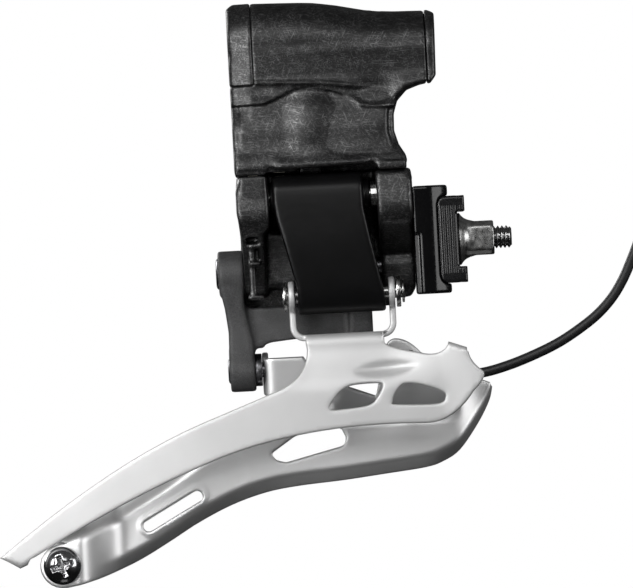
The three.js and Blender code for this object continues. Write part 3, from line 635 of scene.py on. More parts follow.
def shell_step(x, y, z, form):
    """Outboard, the upper shell stands proud above a wavy edge, over a swelling and a dish."""
    edge = np.interp(x, *zip(*SHELL_EDGE))
    outboard = step(1, -3, y)
    swelling = 1.25 * bell(x + 27.5, 5.0) * step(17, 23, z)
    dish = 1.7 * np.exp(-(((x + 14) / 4.6) ** 2) - ((z - 31.2) / 2.6) ** 2)
    waist = 1.2 * np.exp(-(((x + 17) / 8) ** 2) - ((z - 22.5) / 4.0) ** 2)
    rim = 0.7 * step(-22, -17, x) * step(24, 27, z)
    lower = housing_body(x, y, z, (waist + rim + 1.5 - swelling - 0.9 * step(22, 17, z)) * outboard)
    upper = smax(form + dish * outboard, edge - z, 0.35)
    return np.minimum(lower, upper)


def housing_skin(x, y, z):
    """Outside of the finished housing: the step, the ridge line and the rolled lip above the link."""
    form = shell_step(x, y, z, housing_body(x, y, z))
    ridge = np.interp(x, (-39, -24.7, -14, -9), (34.4, 33.7, 32.2, 31.5))
    line = 0.35 * bell(z - ridge, 0.5)
    line = line - 0.4 * step(ridge + 0.2, ridge - 0.5, z) * step(ridge - 5, ridge - 1.5, z)
    line = line * step(-9, -14, x) * step(-41, -38.5, x)
    roll = 0.6 * bell(z - 16.6, 1.5) * step(-37, -34, x) * step(-14, -17, x)
    return form - (line + roll) * step(0, -4, y)


HOUSING_ROOM = [
    ((-42.0, -7.2, 0), (-30.4, 9.6, 22)), ((-42.4, -5.6, 0), (-30.4, 9.6, 28.6)),
    ((-41.0, -3.4, 20), (-30.4, 9.2, 38)), ((-25.8, -5.4, 0), (-12.2, 9.4, 26)),
]
HOUSING_LIPS = [
    ((-43.9, 2.6, 15.28), (-8, 12.3, 18)), ((-43.8, -8.9, 15.28), (-37.5, 3, 17)),
    ((-14.2, -8.9, 15.28), (-8.3, 3, 17)),
]


def motor_housing():
    """The upper shell, hollowed for the motor, the gears and the sector."""
    def shape(x, y, z):
        form = housing_skin(x, y, z) + 0.3
        for low, high in HOUSING_LIPS:
            form = np.minimum(form, block(x, y, z, low, high, 0.1))
        rear = -np.maximum(x - REAR_CAP_X - 0.03, 33.97 - z)
        spigot = np.maximum(housing_body(x, y, z) + 1.5, -42.6 - x)
        form = np.minimum(np.maximum(form, rear), spigot)
        form = np.maximum(form, x - (FRONT_CAP_X - 0.1))
        form = np.minimum(form, np.maximum(housing_body(x, y, z) + 1.3, np.abs(x + 3.1) - 1.4))
        hollow = rod_x(x, y, z, MOTOR, 6.5, -60, -12)
        hollow = np.minimum(hollow, rod_x(x, y, z, MOTOR, 5.6, -60, -3.8))
        for low, high in HOUSING_ROOM:
            hollow = np.minimum(hollow, block(x, y, z, low, high))
        curtain = block(x, y, z, (-37.5, -8.6, 15.8), (-31, -4.4, 19.5), 0.2)
        return np.minimum(np.maximum(form, -hollow), curtain)

    cast_node("motor_housing", "housing_shell", shape, (0.6, 0.6), 0.27, CARBON)


def end_caps():
    def rear(x, y, z):
        form = smax(housing_body(x, y, z) + 0.24, -7.0 - y, 0.5)
        form = smax(form, np.maximum(x - (REAR_CAP_X - 0.01), 34.0 - z), 0.06)
        socket = np.maximum(housing_body(x, y, z) + 1.35, -42.8 - x)
        return np.maximum(form, -socket)

    def front(x, y, z):
        form = smax(housing_body(x, y, z) + 0.16, FRONT_CAP_X + 0.02 - x, 0.15)
        socket = np.maximum(housing_body(x, y, z) + 1.15, x + 1.6)
        return np.maximum(form, -socket)

    cast_node("rear_end_cap", "rear_cover_cap", rear, (0.5, 0.5), 0.24, CARBON)
    cast_node("front_end_cap", "front_cover_cap", front, (0.5, 0.5), 0.24, CARBON)


# ---- fixed body


LATCH = [
    ((-41.9, -4.6, -9.8), (-40.6, -1.6, 1.2), 0.2), ((-41.9, -5.4, 0.2), (-38.6, -1, 1.2), 0.2),
    ((-41.9, -5.2, -3.4), (-39.4, -1, -2.5), 0.2), ((-42.4, -4.9, -10.5), (-39.0, -1.9, -9.5), 0.3),
]


def fixed_body():
    """The lower shell: two arms, a back wall, a notch with its latch, and room for the sector."""
    left_side = polygon([
        (-43.3, 15.3), (-37.2, 15.3), (-37.2, 4.2), (-38.4, 3.2), (-38.4, -9.8), (-39.2, -10.7),
        (-43.0, -10.7), (-43.05, -3), (-43.1, 3), (-43.9, 7.5), (-43.9, 12),
    ])
    left_end = polygon(disc_hull([
        (A[0], 7.8, 5), (B[0], B[1], 5.2), (-6.0, 13.4, 2), (10.8, 13.4, 2), (8.6, -6.6, 3.8),
    ]))
    right_side = polygon([
        (-14.8, 15.3), (-8.2, 15.1), (-7.35, 12.9), (-7.35, -9.5),
        (-8.4, -11.4), (-10.5, -11.8), (-14.2, -11.8),
    ])
    right_end = polygon(disc_hull([(A[0], 7.8, 5), (-6.0, 13.4, 2), (10.8, 13.4, 2), (8, 0, 5)]))
    room = polygon(disc_hull([
        (A[0], A[1], 3.5), (A[0] - 2.6, A[1] + 7, 1.2),
        (A[0] + 10.2, A[1] + 4.6, 1.4), (A[0] + 9, A[1] + 9, 2),
    ]))
    foot_end = polygon(disc_hull([
        (B[0] + 0.9, B[1], 4), (5.6, -8.2, 3.6), (9.2, -8.2, 3.6), (10.2, 5, 2.6),
    ]))

    def shape(x, y, z):
        left = smax(left_side(x, z), left_end(y, z), 0.8)
        right = smax(right_side(x, z), np.minimum(right_end(y, z), foot_end(y, z)), 0.9)
        wall = block(x, y, z, (-43.2, 11, -6), (-7.3, 12.7, 15.3), 0.4)
        roof = block(x, y, z, (-43.2, 3.1, 13), (-7.3, 12.7, 15.3), 0.4)
        lump = block(x, y, z, (-40, 1.9, -8.4), (-30.5, 11.5, 3.8), 1.6)
        form = smin(smin(left, right, 0.5), np.minimum(wall, roof), 1.5)
        form = smin(form, lump, 1.0)
        notch = block(x, y, z, (-42.2, -9, -9.6), (-39.7, -2.6, 2.6), 0.4)
        form = smax(form, -notch, 0.4)
        for low, high, radius in LATCH:
            form = smin(form, block(x, y, z, low, high, radius), 0.25)
        form = bored(
            form, x, y, z,
            (A, 2.7, -60, -41.8), (A, 2.7, -38.7, -30), (A, 2.7, -16.5, 5), (B, PIN_BORE, -60, 5),
        )
        sector = np.maximum(room(y, z), np.abs(x + 40.25) - 1.65)
        form = np.maximum(form, -sector)
        cheek = block(x, y, z, (-43.1, -8.6, 9.5), (-37.4, -7.8, 15.3), 0.4)
        skirt = block(x, y, z, (-43.9, 10.9, -13.2), (-12, 12.6, 0), 0.4)
        return np.minimum(np.minimum(form, cheek), skirt)

    cast_node("fixed_body", "body_casting", shape, (0.6, 0.6), 0.32, CARBON)


# ---- links


BLADE_TOP = [
    (-4.9, 0.5), (-4.1, 3.1), (-1.8, 4.6), (1.2, 4.4),
    (3.3, 2.2), (3.3, -2.4), (0.6, -5.5), (-0.4, -10),
]
BLADE_FOOT = [(0.4, 5), (2.3, 2.6), (2.9, 0), (2.1, -2.8), (0, -4), (-2.8, -3.1), (-4.5, 0), (-5.9, 6)]


def outer_link():
    """A broad plate from the drive shaft to the lower pin, curved in section."""
    section = [(A[0] + u, A[1] + v) for u, v in BLADE_TOP]
    section += [(C[0] + u, C[1] + v) for u, v in BLADE_FOOT]
    blade = polygon(smooth_closed(section + [(A[0] - 5, A[1] - 8)], 4))
    face = polygon([
        (-36.2, 16.5), (-36.1, 8.9), (-35.7, 5.9), (-34.9, 2.8), (-33.8, -1.8), (-32.9, -5.6),
        (-32.3, -7.6), (-32.1, -10.5), (-32.2, -15.5), (-13.7, -15.5), (-14.1, -9.9), (-15.3, -4),
        (-16.6, 2.5), (-17.5, 7.6), (-17.7, 16.5),
    ])

    def shape(x, y, z):
        form = smax(blade(y, z), face(x, z), 0.7)
        form = smin(form, rod_x(x, y, z, A, 3.3, -36.95, -30), 0.3)
        form = smin(form, rod_x(x, y, z, A, 3.0, -22, -16.1), 0.3)
        return bored(form, x, y, z, (A, PIN_BORE, -60, 0), (C, PIN_BORE, -60, 0))

    cast_node("outer_link", "outer_link_arm", shape, (0.4, 0.4), 0.3, SATIN_BLACK, "outer_link")


def inner_link():
    """A rear arm with two bosses, a cross beam and a short front arm."""
    arm_end = polygon(disc_hull([(B[0], B[1], 4.6), (D[0], D[1], 4.2)]))
    arm_side = polygon([
        (-48.3, -0.2), (-43.35, -0.2), (-43.35, -11), (-43.2, -13), (-42.7, -16), (-42, -19.5),
        (-41.9, -29.4), (-46.8, -29.4), (-47, -21), (-46.9, -17), (-47.5, -12), (-48.2, -8.5),
    ])
    right_end = polygon(disc_hull([(B[0], B[1], 3.7), (D[0], D[1], 3.6)]))

    def shape(x, y, z):
        waist = 0.6 * bell(z + 14.5, 5)
        arm = smax(arm_end(y, z) + waist, arm_side(x, z), 0.7)
        bosses = np.minimum(
            rod_x(x, y, z, B, 4.7, -48.4, -43.2),
            rod_x(x, y, z, D, 4.4, -47, -41.8),
        )
        beam_low = np.interp(x, (-44, -41.4, -38, -31, -17), (-22.4, -20.4, -19.5, -18.9, -18.9))
        beam = np.maximum(y - (D[0] + 3.2), B[0] - 1.6 - y)
        beam = np.maximum(beam, np.maximum(z + 12.2, beam_low - z))
        beam = smax(beam, np.abs(x + 31.5) - 14.4, 0.8)
        right = smax(right_end(y, z), np.abs(x + 19.3) - 2.3, 0.7)
        tab = block(x, y, z, (-41, D[0] - 3.2, -20.6), (-39.6, D[0] - 0.6, -18.4), 0.3)
        form = smin(smin(smin(arm, bosses, 0.5), beam, 1.6), right, 1.2)
        form = smin(form, tab, 0.5)
        return bored(form, x, y, z, (B, PIN_BORE, -60, 0), (D, PIN_BORE, -60, 0))

    cast_node("inner_link", "inner_link_arm", shape, (0.4, 0.4), 0.32, CASTING, "inner_link")


# ---- braze-on mount


STUD_BORE = 2.46


def braze_on_block():
    """A glossy block with a curved outboard face, a groove in it and a pocket for the saddle."""
    pocket = polygon(fillet([(-2.3, -9.1), (4, -9.1), (4, 9.1), (-2.3, 9.1)], 2.1, 6))

    def shape(x, y, z):
        form = np.maximum(np.maximum(-7.3 - x, x), np.abs(y) - 8)
        curve = (np.maximum(x + 5.6, 0) / 5.6) ** 2 * 2.7
        form = smax(form, np.abs(y) - (8 - curve), 0.5)
        form = smax(form, np.abs(z - 0.15) - 11.25, 0.5)
        groove = np.hypot(x + 6.9, y + 8.3) - 1.0
        form = smax(form, -np.maximum(groove, z - 1.5), 0.25)
        form = smax(form, -pocket(x, z), 0.3)
        return bored(form, x, y, z, ((0, 0), STUD_BORE, -5.5, 5))

    cast_node("braze_on_block", "clamp_block", shape, (0.8, 0.3), 0.22, GLOSS_BLACK)


def clamp_saddle():
    """A C-shaped saddle with fine ribs on its edges and coarser ones on its seat."""
    side = polygon([
        *fillet([(3.4, 9.05), (-2.3, 9.05), (-2.3, -9.05), (3.4, -9.05)], 2.0, 6)[5:-5],
        (3.4, -9.05), (3.4, -5.7), (1.84, -5.7), (1.84, 5.7), (3.4, 5.7), (3.4, 9.05),
    ])

    def shape(x, y, z):
        form = smax(side(x, z), np.abs(y) - 7.15, 0.5)
        ribs = 0.13 * np.cos(2 * math.pi * x / 0.46) * (np.abs(z) < 7.2)
        form = form + np.where(y < -6.4, ribs + 0.1, 0)
        ribs_front = 0.2 * np.cos(2 * math.pi * y / 1.1)
        form = form + np.where((x > 1.2) & (np.abs(z) < 5.5), ribs_front + 0.15, 0)
        return bored(form, x, y, z, ((0, 0), STUD_BORE, -6, 6))

    cast_node("clamp_saddle", "serrated_saddle", shape, (0.2, 0.2), 0.13, SADDLE_BLACK)


FLANGE_CONE = ((1.9, 2.3, 2.6, 3.2, 4.0, 4.8, 5.4), (5.5, 5.45, 4.95, 4.35, 3.95, 3.7, 3.3))


def flange_nut():
    """A square nut on a flared flange."""
    def shape(x, y, z):
        r = np.hypot(y, z)
        cone = np.interp(x, *FLANGE_CONE)
        flange = np.maximum((r - cone) * 0.8, np.maximum(1.95 - x, x - 5.4))
        square = smax(np.abs(y) - 3.55, np.abs(z) - 3.55, 0.2)
        square = smax(square, (np.abs(y) + np.abs(z) - 6.0) * 0.7071, 0.3)
        body = smax(smax(square, x - 9.3, 0.3), 3.6 - x, 0.3)
        body = smax(body, (r + x - 13.1) * 0.7071, 0.2)
        form = smin(flange, body, 0.4)
        return np.maximum(form, -(r - 2.42))

    cast_node("flange_nut", "square_nut", shape, (0.5, 0.2), 0.14, ZINC)


def thread_radius(phase):
    """Radius below the crest for a thread phase between 0 and 1."""
    flank = min(phase, 1 - phase) * 2
    return 0.5 * max(0.0, min(1.0, 1.25 * flank - 0.12))


def mounting_stud():
    """A stud with a helical thread past its plain shank."""
    crest, pitch, thread_start = 2.36, 0.87, 4
    low, high = span("mounting_stud")
    turns, rings = 40, int((high[0] - low[0]) / 0.07)
    vertices, faces = [], []
    for i in range(rings + 1):
        x = low[0] + (high[0] - low[0]) * i / rings
        end = min(x - low[0], high[0] - x)
        for j in range(turns):
            angle = 2 * math.pi * j / turns
            phase = ((x / pitch) + j / turns) % 1.0
            r = crest - (thread_radius(phase) if x > thread_start else 0.02)
            r = min(r, 1.75 + end)
            vertices.append((x, r * math.cos(angle), r * math.sin(angle)))
    for i in range(rings):
        for j in range(turns):
            a, b = i * turns + j, i * turns + (j + 1) % turns
            faces.append((a, b, b + turns, a + turns))
    for start, order in ((0, -1), (rings * turns, 1)):
        centre = len(vertices)
        vertices.append((low[0] if start == 0 else high[0], 0, 0))
        for j in range(turns):
            a, b = start + j, start + (j + 1) % turns
            faces.append((centre, a, b)[::order])
    thing = mesh_object("threaded_stud", vertices, faces, "thread_steel")
    settle(thing, "root", "zinc", "mounting_stud")


# ---- turned pieces

TIP_R = 0.02
SHARP_ANGLE = math.radians(35)


def turned(name, profile, centre, finish, sides=56):
    """A closed solid of revolution about X, from [(x, radius), ...] end to end or round a ring."""
    closed = profile[0] == profile[-1]
    points = profile[:-1] if closed else profile
    vertices, faces = [], []
    for x, radius in points:
        for j in range(sides):
            angle = 2 * math.pi * j / sides
            y, z = radius * math.cos(angle), radius * math.sin(angle)
            vertices.append((x, centre[0] + y, centre[1] + z))
    count = len(points)
    for i in range(count if closed else count - 1):
        for j in range(sides):
            a, b = i * sides + j, i * sides + (j + 1) % sides
            c, d = ((i + 1) % count) * sides + j, ((i + 1) % count) * sides + (j + 1) % sides
            faces.append((a, b, d, c))
    if not closed:
        faces.append(tuple(range(sides))[::-1])
        faces.append(tuple(range((count - 1) * sides, count * sides)))
    thing = mesh_object(name, vertices, faces, finish)
    thing.data.set_sharp_from_angle(angle=SHARP_ANGLE)
    return thing


def rounded(low, high, radius, bevel, steps=4):
    """Profile of a rod with both ends rounded."""
    turns = [math.pi / 2 * i / steps for i in range(steps + 1)]
    start = [(low + bevel * (1 - math.sin(t)), radius - bevel * (1 - math.cos(t))) for t in turns[::-1]]
    end = [(high - bevel * (1 - math.cos(t)), radius - bevel * (1 - math.sin(t))) for t in turns]
    return [(low, TIP_R), *start, *end, (high, TIP_R)]


def ring_profile(low, high, inner, outer, bevel):
    shoulder = bevel * 0.3
    return [
        (low, inner), (low, outer - bevel), (low + shoulder, outer - shoulder), (low + bevel, outer),
        (high - bevel, outer), (high - shoulder, outer - shoulder), (high, outer - bevel),
        (high, inner), (low, inner),
    ]


HEADED_PINS = [
    ("drive_shaft", "upper_outer_pin", A, "steel", "outer_link",
     [(0, 1.5), (0.15, 1.95), (0.4, 2.2), (0.55, 2.2), (0.6, PIN_R)]),
    ("inner_link_pivot_pin", "upper_inner_pin", B, "dark_steel", "root",
     [(0, 2.5), (0.12, 2.95), (0.35, 3.2), (0.5, 3.2), (0.55, PIN_R)]),
    ("lower_rear_pin", "lower_rear_pivot", D, "dark_steel", "inner_link",
     [(0, 2), (0.12, 2.4), (0.3, 2.6), (0.4, 2.6), (0.45, PIN_R)]),
]


# The inner washer fills the gap between the link's boss and the bracket.
INNER_WASHER_X = (-41.78, -40.36)


def pins_and_washers():
    for node, name, centre, finish, body, head in HEADED_PINS:
        low, high = span(node)
        profile = [(low[0], TIP_R), *((low[0] + depth, radius) for depth, radius in head)]
        profile += [(high[0] - 0.3, PIN_R), (high[0], PIN_R - 0.3), (high[0], TIP_R)]
        settle(turned(name, profile, centre, finish), body, "steel", node)
    for node, name, centre, body in (
        ("lower_outer_pin", "lower_outer_pivot", C, "outer_link"),
        ("lower_front_pin", "lower_front_pivot", D, "inner_link"),
    ):
        low, high = span(node)
        piece = turned(name, rounded(low[0], high[0], PIN_R, 0.35), centre, "steel")
        settle(piece, body, "steel", node)
    for node, outer, centre, body, finish in (
        ("outer_pin_rear_washer", 3.1, C, "outer_link", "steel"),
        ("outer_pin_front_washer", 3.3, C, "outer_link", "steel"),
        ("outer_pin_clip", 2.4, C, "outer_link", "steel"),
        ("inner_pin_washer", 3.4, D, "inner_link", "dark_steel"),
    ):
        low, high = INNER_WASHER_X if centre == D else (corner[0] for corner in span(node))
        profile = ring_profile(low, high, PIN_R + 0.04, outer, 0.14)
        settle(turned(node + "_disc", profile, centre, finish), body, "steel", node)


def tail_screw():
    """A domed screw with a cross recess that narrows as it goes in."""
    _, high = span("tail_screw")

    def shape(x, y, z):
        r = np.hypot(x - TAIL_X, z - TAIL_Z)
        dome = np.hypot(r, np.maximum(-(y + 5.2), 0) * 1.32) - 3.98
        head = smax(dome, y + 4.9, 0.25)
        shank = np.maximum(r - 1.24, np.maximum(y - high[1] + 0.02, -5.5 - y))
        form = np.minimum(head, shank)
        u, v = turned_axes(x, z, (TAIL_X, TAIL_Z), math.radians(18))
        taper = 0.35 * (y + 8.2)
        cross = np.minimum(
            np.maximum(np.abs(u) - 2.5 + taper, np.abs(v) - 0.52 + 0.1 * taper),
            np.maximum(np.abs(v) - 2.5 + taper, np.abs(u) - 0.52 + 0.1 * taper),
        )
        well = np.minimum(cross, r - 1.15 + taper * 0.6)
        return smax(form, -np.maximum(well, y + 6.1), 0.12)

    cast_node("tail_screw", "cross_head_screw", shape, (0.3, 0.3), 0.11, CHROME, "cage")


# ---- cage plates

SHEET_T = 1.3


def sample_outline(points, spacing=0.7):
    """Points along a closed outline, no further apart than the spacing."""
    out = []
    count = len(points)
    for i in range(count):
        a, b = np.array(points[i]), np.array(points[(i + 1) % count])
        pieces = max(1, math.ceil(np.linalg.norm(b - a) / spacing))
        out += [tuple(a + (b - a) * k / pieces) for k in range(pieces)]
    return out


def inset(points, distance):
    """The outline moved inwards, to its left, by a small distance."""
    p = np.array(points)
    ahead = np.roll(p, -1, axis=0) - p
    ahead /= np.linalg.norm(ahead, axis=1)[:, None]
    behind = np.roll(ahead, 1, axis=0)
    normal = np.stack([-(ahead[:, 1] + behind[:, 1]), ahead[:, 0] + behind[:, 0]], axis=1)
    length = np.maximum(np.linalg.norm(normal, axis=1), 0.6)[:, None]
    return p + normal / length * distance * np.minimum(2 / length, 1.6)


def counter_clockwise(points):
    p = np.array(points)
    q = np.roll(p, -1, axis=0)
    area = np.sum(p[:, 0] * q[:, 1] - q[:, 0] * p[:, 1])
    return points if area > 0 else points[::-1]


# Shares of the edge radius at which rings of points follow every edge of a sheet.
RING_STEPS = (0.0, 0.12, 0.42, 1.0)
PROBE = 0.02


def sheet_metal(name, outline, holes, place, edge, finish, spacing):
    """A sheet cut to an outline in its flat (u, v), then bent: place(u, v) gives its outboard face.

    Its edges are rounded to the edge radius, and its points stand about the spacing apart.
    """
    loops = [sample_outline(counter_clockwise(outline), spacing * 0.7)]
    loops += [sample_outline(counter_clockwise(hole), spacing * 0.45)[::-1] for hole in holes]
    points, edges, depth = [], [], []
    for loop in loops:
        for share in RING_STEPS:
            start = len(points)
            ring = inset(loop, edge * share) if share else np.array(loop)
            points += [Vector(p) for p in ring]
            depth += [share] * len(ring)
            edges += [(start + i, start + (i + 1) % len(ring)) for i in range(len(ring))]
    boundary = polygon(loops[0])
    hole_fields = [polygon(loop) for loop in loops[1:]]
    low, high = np.min(loops[0], axis=0), np.max(loops[0], axis=0)
    u, v = np.meshgrid(np.arange(low[0], high[0], spacing), np.arange(low[1], high[1], spacing * 0.87))
    u = u + (np.arange(u.shape[0]) % 2 * spacing / 2)[:, None]
    u, v = u.ravel(), v.ravel()
    clear = boundary(u, v) < -(edge + spacing * 0.4)
    for field in hole_fields:
        clear &= field(u, v) > edge + spacing * 0.4
    points += [Vector(p) for p in zip(u[clear], v[clear])]
    depth += [1.0] * int(clear.sum())
    flat, _, faces, origins, _, _ = geometry.delaunay_2d_cdt(points, edges, [], 1, 1e-5)
    flat = np.array([tuple(p) for p in flat])
    share = np.array([depth[o[0]] if o else 1.0 for o in origins])
    middle = np.array([flat[list(f)].mean(axis=0) for f in faces])
    keep = boundary(middle[:, 0], middle[:, 1]) < 0
    for field in hole_fields:
        keep &= field(middle[:, 0], middle[:, 1]) > 0
    faces = [f for f, k in zip(faces, keep) if k]
    front = place(flat[:, 0], flat[:, 1])
    flat_u, flat_v = flat.T
    across = place(flat_u + PROBE, flat_v) - place(flat_u - PROBE, flat_v)
    up = place(flat_u, flat_v + PROBE) - place(flat_u, flat_v - PROBE)
    normal = np.cross(across, up)
    normal /= np.linalg.norm(normal, axis=1)[:, None]
    sink = (edge * (1 - np.sqrt(np.clip(1 - (1 - share) ** 2, 0, 1))))[:, None]
    vertices = np.concatenate([front - normal * sink, front - normal * (SHEET_T - sink)])
    count = len(flat)
    solid, sides = [], {}
    for a, b, c in faces:
        wound = np.cross(flat[b] - flat[a], flat[c] - flat[a])
        tri = (a, b, c) if wound > 0 else (a, c, b)
        solid += [tri, tuple(count + i for i in tri[::-1])]
        sides.update({(tri[i], tri[(i + 1) % 3]): True for i in range(3)})
    solid += [(b, a, count + a, count + b) for a, b in sides if (b, a) not in sides]
    return mesh_object(name, vertices, solid, finish)


def curve_points(start, *segments):
    """An outline from lines and quadratic curves: (end,) is a line, (control, end) is a curve."""
    points = [start]
    for segment in segments:
        if len(segment) == 1:
            points.append(segment[0])
            continue
        p0, p1, p2 = np.array(points[-1]), np.array(segment[0]), np.array(segment[1])
        for i in range(1, 11):
            points.append(quadratic(p0, p1, p2, i / 10))
    return points


def circle(u, v, radius, steps=24):
    turn = 2 * math.pi / steps
    return [(u + radius * math.cos(turn * i), v + radius * math.sin(turn * i)) for i in range(steps)]


def fillet(points, radius, steps=4):
    """A closed outline with its corners rounded."""
    out = []
    count = len(points)
    for i in range(count):
        p0, p1, p2 = (np.array(points[(i + k) % count], float) for k in (-1, 0, 1))
        a, b = p0 - p1, p2 - p1
        la, lb = np.linalg.norm(a), np.linalg.norm(b)
        cosine = np.dot(a, b) / (la * lb)
        angle = math.acos(max(-1, min(1, cosine)))
        if angle > math.radians(160):
            out.append(tuple(p1))
            continue
        back = min(radius / math.tan(angle / 2), la * 0.45, lb * 0.45)
        start, end = p1 + a / la * back, p1 + b / lb * back
        for s in range(steps + 1):
            out.append(quadratic(start, p1, end, s / steps))
    return out


SHELF_V = -20.2
SHELF_BEND = 1.9
EAR_BEND = 1.7
EAR_X = (-32.75, -13.2)
EAR_R = 3.1
OUTER_Y = -7
SHELF_Y = -4.6
EYE_R = 1.66
HALF_TURN = math.pi / 2


def outer_depth(x, z):
    """Depth of the outer plate's outboard face, with its lens-shaped dimple, tail lip and nose nib."""
    top = 2.4 * step(-30.5, -21, z) * step(-40, -30, x) * (1 - step(-15, 1, x))
    lens_x = np.clip(1 - ((x + 14.6) / 6.8) ** 2, 0, 1)
    lens = 1.25 * lens_x * bell(z + 26.0 - 0.06 * (x + 14.6), 0.35 + 0.85 * lens_x)
    nose = -1.2 * step(-4, 6, x)
    tail = 0.9 * step(-55, -95, x)
    lip_line = np.interp(x, (-96.7, -92.6, -89.8), (-60.7, -62.6, -61.4))
    lip = 1.2 * np.clip((lip_line - z) / 1.4, 0, 1) ** 2 * step(-88.6, -90.5, x) * step(-97.2, -95, x)
    nib_line = -21.9 - 0.37 * (x + 1.3)
    nib = 1.9 * np.clip((z - nib_line) / 1.2, 0, 1) ** 1.7 * (x > -2.6)
    crown = -0.3 * np.cos((x + 45) / 30)
    return OUTER_Y + top + nose + tail + lens + crown + lip + nib


def outer_place(u, v):
    """Bends the flat outer plate: its top folds inboard as a shelf, whose ends fold up as ears."""
    lifted = np.zeros_like(u)
    x = u.copy()
    for edge_x, sign in ((EAR_X[0] + EAR_BEND, -1), (EAR_X[1] - EAR_BEND, 1)):
        past = np.maximum(sign * (u - edge_x), 0) * (v > SHELF_V - 0.2)
        angle = np.minimum(past / EAR_BEND, HALF_TURN)
        straight = np.maximum(past - EAR_BEND * HALF_TURN, 0)
        x = np.where(past > 0, edge_x + sign * EAR_BEND * np.sin(angle), x)
        lifted = lifted + EAR_BEND * (1 - np.cos(angle)) + straight
    rise = np.maximum(v - SHELF_V, 0)
    on_ear = lifted > 0
    angle = np.where(on_ear, HALF_TURN, np.minimum(rise / SHELF_BEND, HALF_TURN))
    past = rise - SHELF_BEND * HALF_TURN
    flat_run = np.where(on_ear, past, np.maximum(past, 0))
    base = outer_depth(x, np.minimum(v, SHELF_V))
    y = base + SHELF_BEND * (1 - np.cos(angle)) + flat_run
    z = np.minimum(v, SHELF_V) + SHELF_BEND * np.sin(angle) + lifted
    return np.stack([x, y, z], axis=-1)


def ear(centre_u, centre_v, side, neck):
    """Outline of one ear in the flat blank; side is -1 for the rear ear and 1 for the front one."""
    low, high = neck
    arc = []
    for i in range(15):
        t = math.radians(-50 - 260 * i / 14)
        arc.append((centre_u - side * EAR_R * math.cos(t), centre_v + EAR_R * math.sin(t)))
    root = centre_u - side * 6.4
    inner = centre_u - side * 3.4
    points = [(root, low), (inner, low), *arc, (inner, high), (root, high)]
    return points if side < 0 else points[::-1]


WINDOWS = [
    [(-26.7, -33.3), (-25.2, -31.2), (-23.4, -29.7), (-21.2, -29.0), (-16.3, -28.9), (-15.5, -29.8),
     (-16.7, -32.0), (-18.7, -33.5), (-24.7, -34.1), (-26.4, -34.1)],
    [(-13.6, -33.0), (-13.3, -31.9), (-12.3, -30.4), (-11.0, -29.4), (-8.1, -29.6), (-3.6, -31.2),
     (-2.6, -32.5), (-4.3, -33.9), (-12.9, -33.6)],
]


def outer_plate():
    """The outboard plate: its blade, two windows, and the shelf and ears for the outer link's pin."""
    shelf_out = SHELF_V + SHELF_BEND * HALF_TURN
    ear_v = shelf_out + (C[0] - (SHELF_Y + SHELF_BEND))
    reach = EAR_BEND * HALF_TURN + (C[1] - (SHELF_V + SHELF_BEND) - EAR_BEND)
    left_u = EAR_X[0] + EAR_BEND - reach
    right_u = EAR_X[1] - EAR_BEND + reach
    neck = (shelf_out + 0.15, shelf_out + 2.9)
    outline = [(-30.7, -21.4), (-30.9, SHELF_V + 0.4), (-30.9, shelf_out - 0.2)]
    outline += ear(left_u, ear_v, -1, neck)
    outline += [(-30.2, neck[1] + 0.3), (-15.8, neck[1] + 0.3)]
    outline += ear(right_u, ear_v, 1, neck)
    outline += [(-15.0, shelf_out - 0.2), (-14.8, SHELF_V + 0.4)]
    outline += curve_points(
        (-14.6, -20.7), ((-14.0, -21.7), (-8, -22.9)), ((-2.5, -24.7), (-1.3, -20.9)), ((2.5, -22.3),),
        ((2.2, -25.2), (5.5, -27.6)), ((6.4, -28.8), (3.2, -31.7)), ((-1.5, -38.2), (-7, -37.8)),
        ((-31, -36.6), (-49.6, -42.8)), ((-67, -49), (-84.7, -58.8)), ((-90.3, -61.9),),
        ((-90.9, -63.2),), ((-92.6, -63.9),), ((-96.75, -61.3),), ((-72.5, -42.6), (-53.4, -35.5)),
        ((-36.3, -29.2),), ((-31, -26.6), (-30.7, -21.4)),
    )[:-1]
    windows = [smooth_closed(window) for window in WINDOWS]
    holes = windows + [circle(centre, ear_v, EYE_R) for centre in (left_u, right_u)]
    thing = sheet_metal("outer_cage_plate", outline, holes, outer_place, 0.42, "outer_silver", 0.7)
    settle(thing, "cage", "cage_silver", "outer_plate")


INNER_FOOT = [
    (-92.0, -68.6), (-83.0, -68.2), (-79.5, -67.6), (-75.0, -66.5), (-70.0, -64.7), (-66.0, -62.8),
    (-60.5, -59.7), (-55.0, -56.5), (-47.9, -53.2), (-40.7, -51.0), (-33.8, -50.0), (-24.4, -49.3),
    (-15.5, -48.4), (-7.2, -47.5), (-3.4, -46.4), (0.3, -44.1), (4.4, -38.8), (7.0, -34.2),
    (7.8, -31.2),
]
FOOT_CURVE = np.array(smooth_run(INNER_FOOT, 8)).T
BRACKET_BEND = 2.2
BRACKET_X = -40.3
INNER_RIDGE = [
    (-90, -61), (-84, -59.6), (-78, -58.6), (-73, -56.6), (-62, -50.3), (-54, -45),
    (-49.6, -42.4), (-44, -40.5), (-30, -36),
]
BIG_HOLE = [
    (-39.4, -42.8), (-34.6, -39.6), (-30.6, -37.8), (-24.9, -37.3),
    (-23.6, -40.2), (-24.2, -41.8), (-36.4, -44.7), (-38.4, -44.1),
]
SLOT_CENTRE = (-60.5, -53.65)
SLOT_TURN = math.radians(28.4)
SLOT_REACH = 5.9
SLOT_R = 1.02
TAIL_R = 4.7
INNER_Y = 4.2


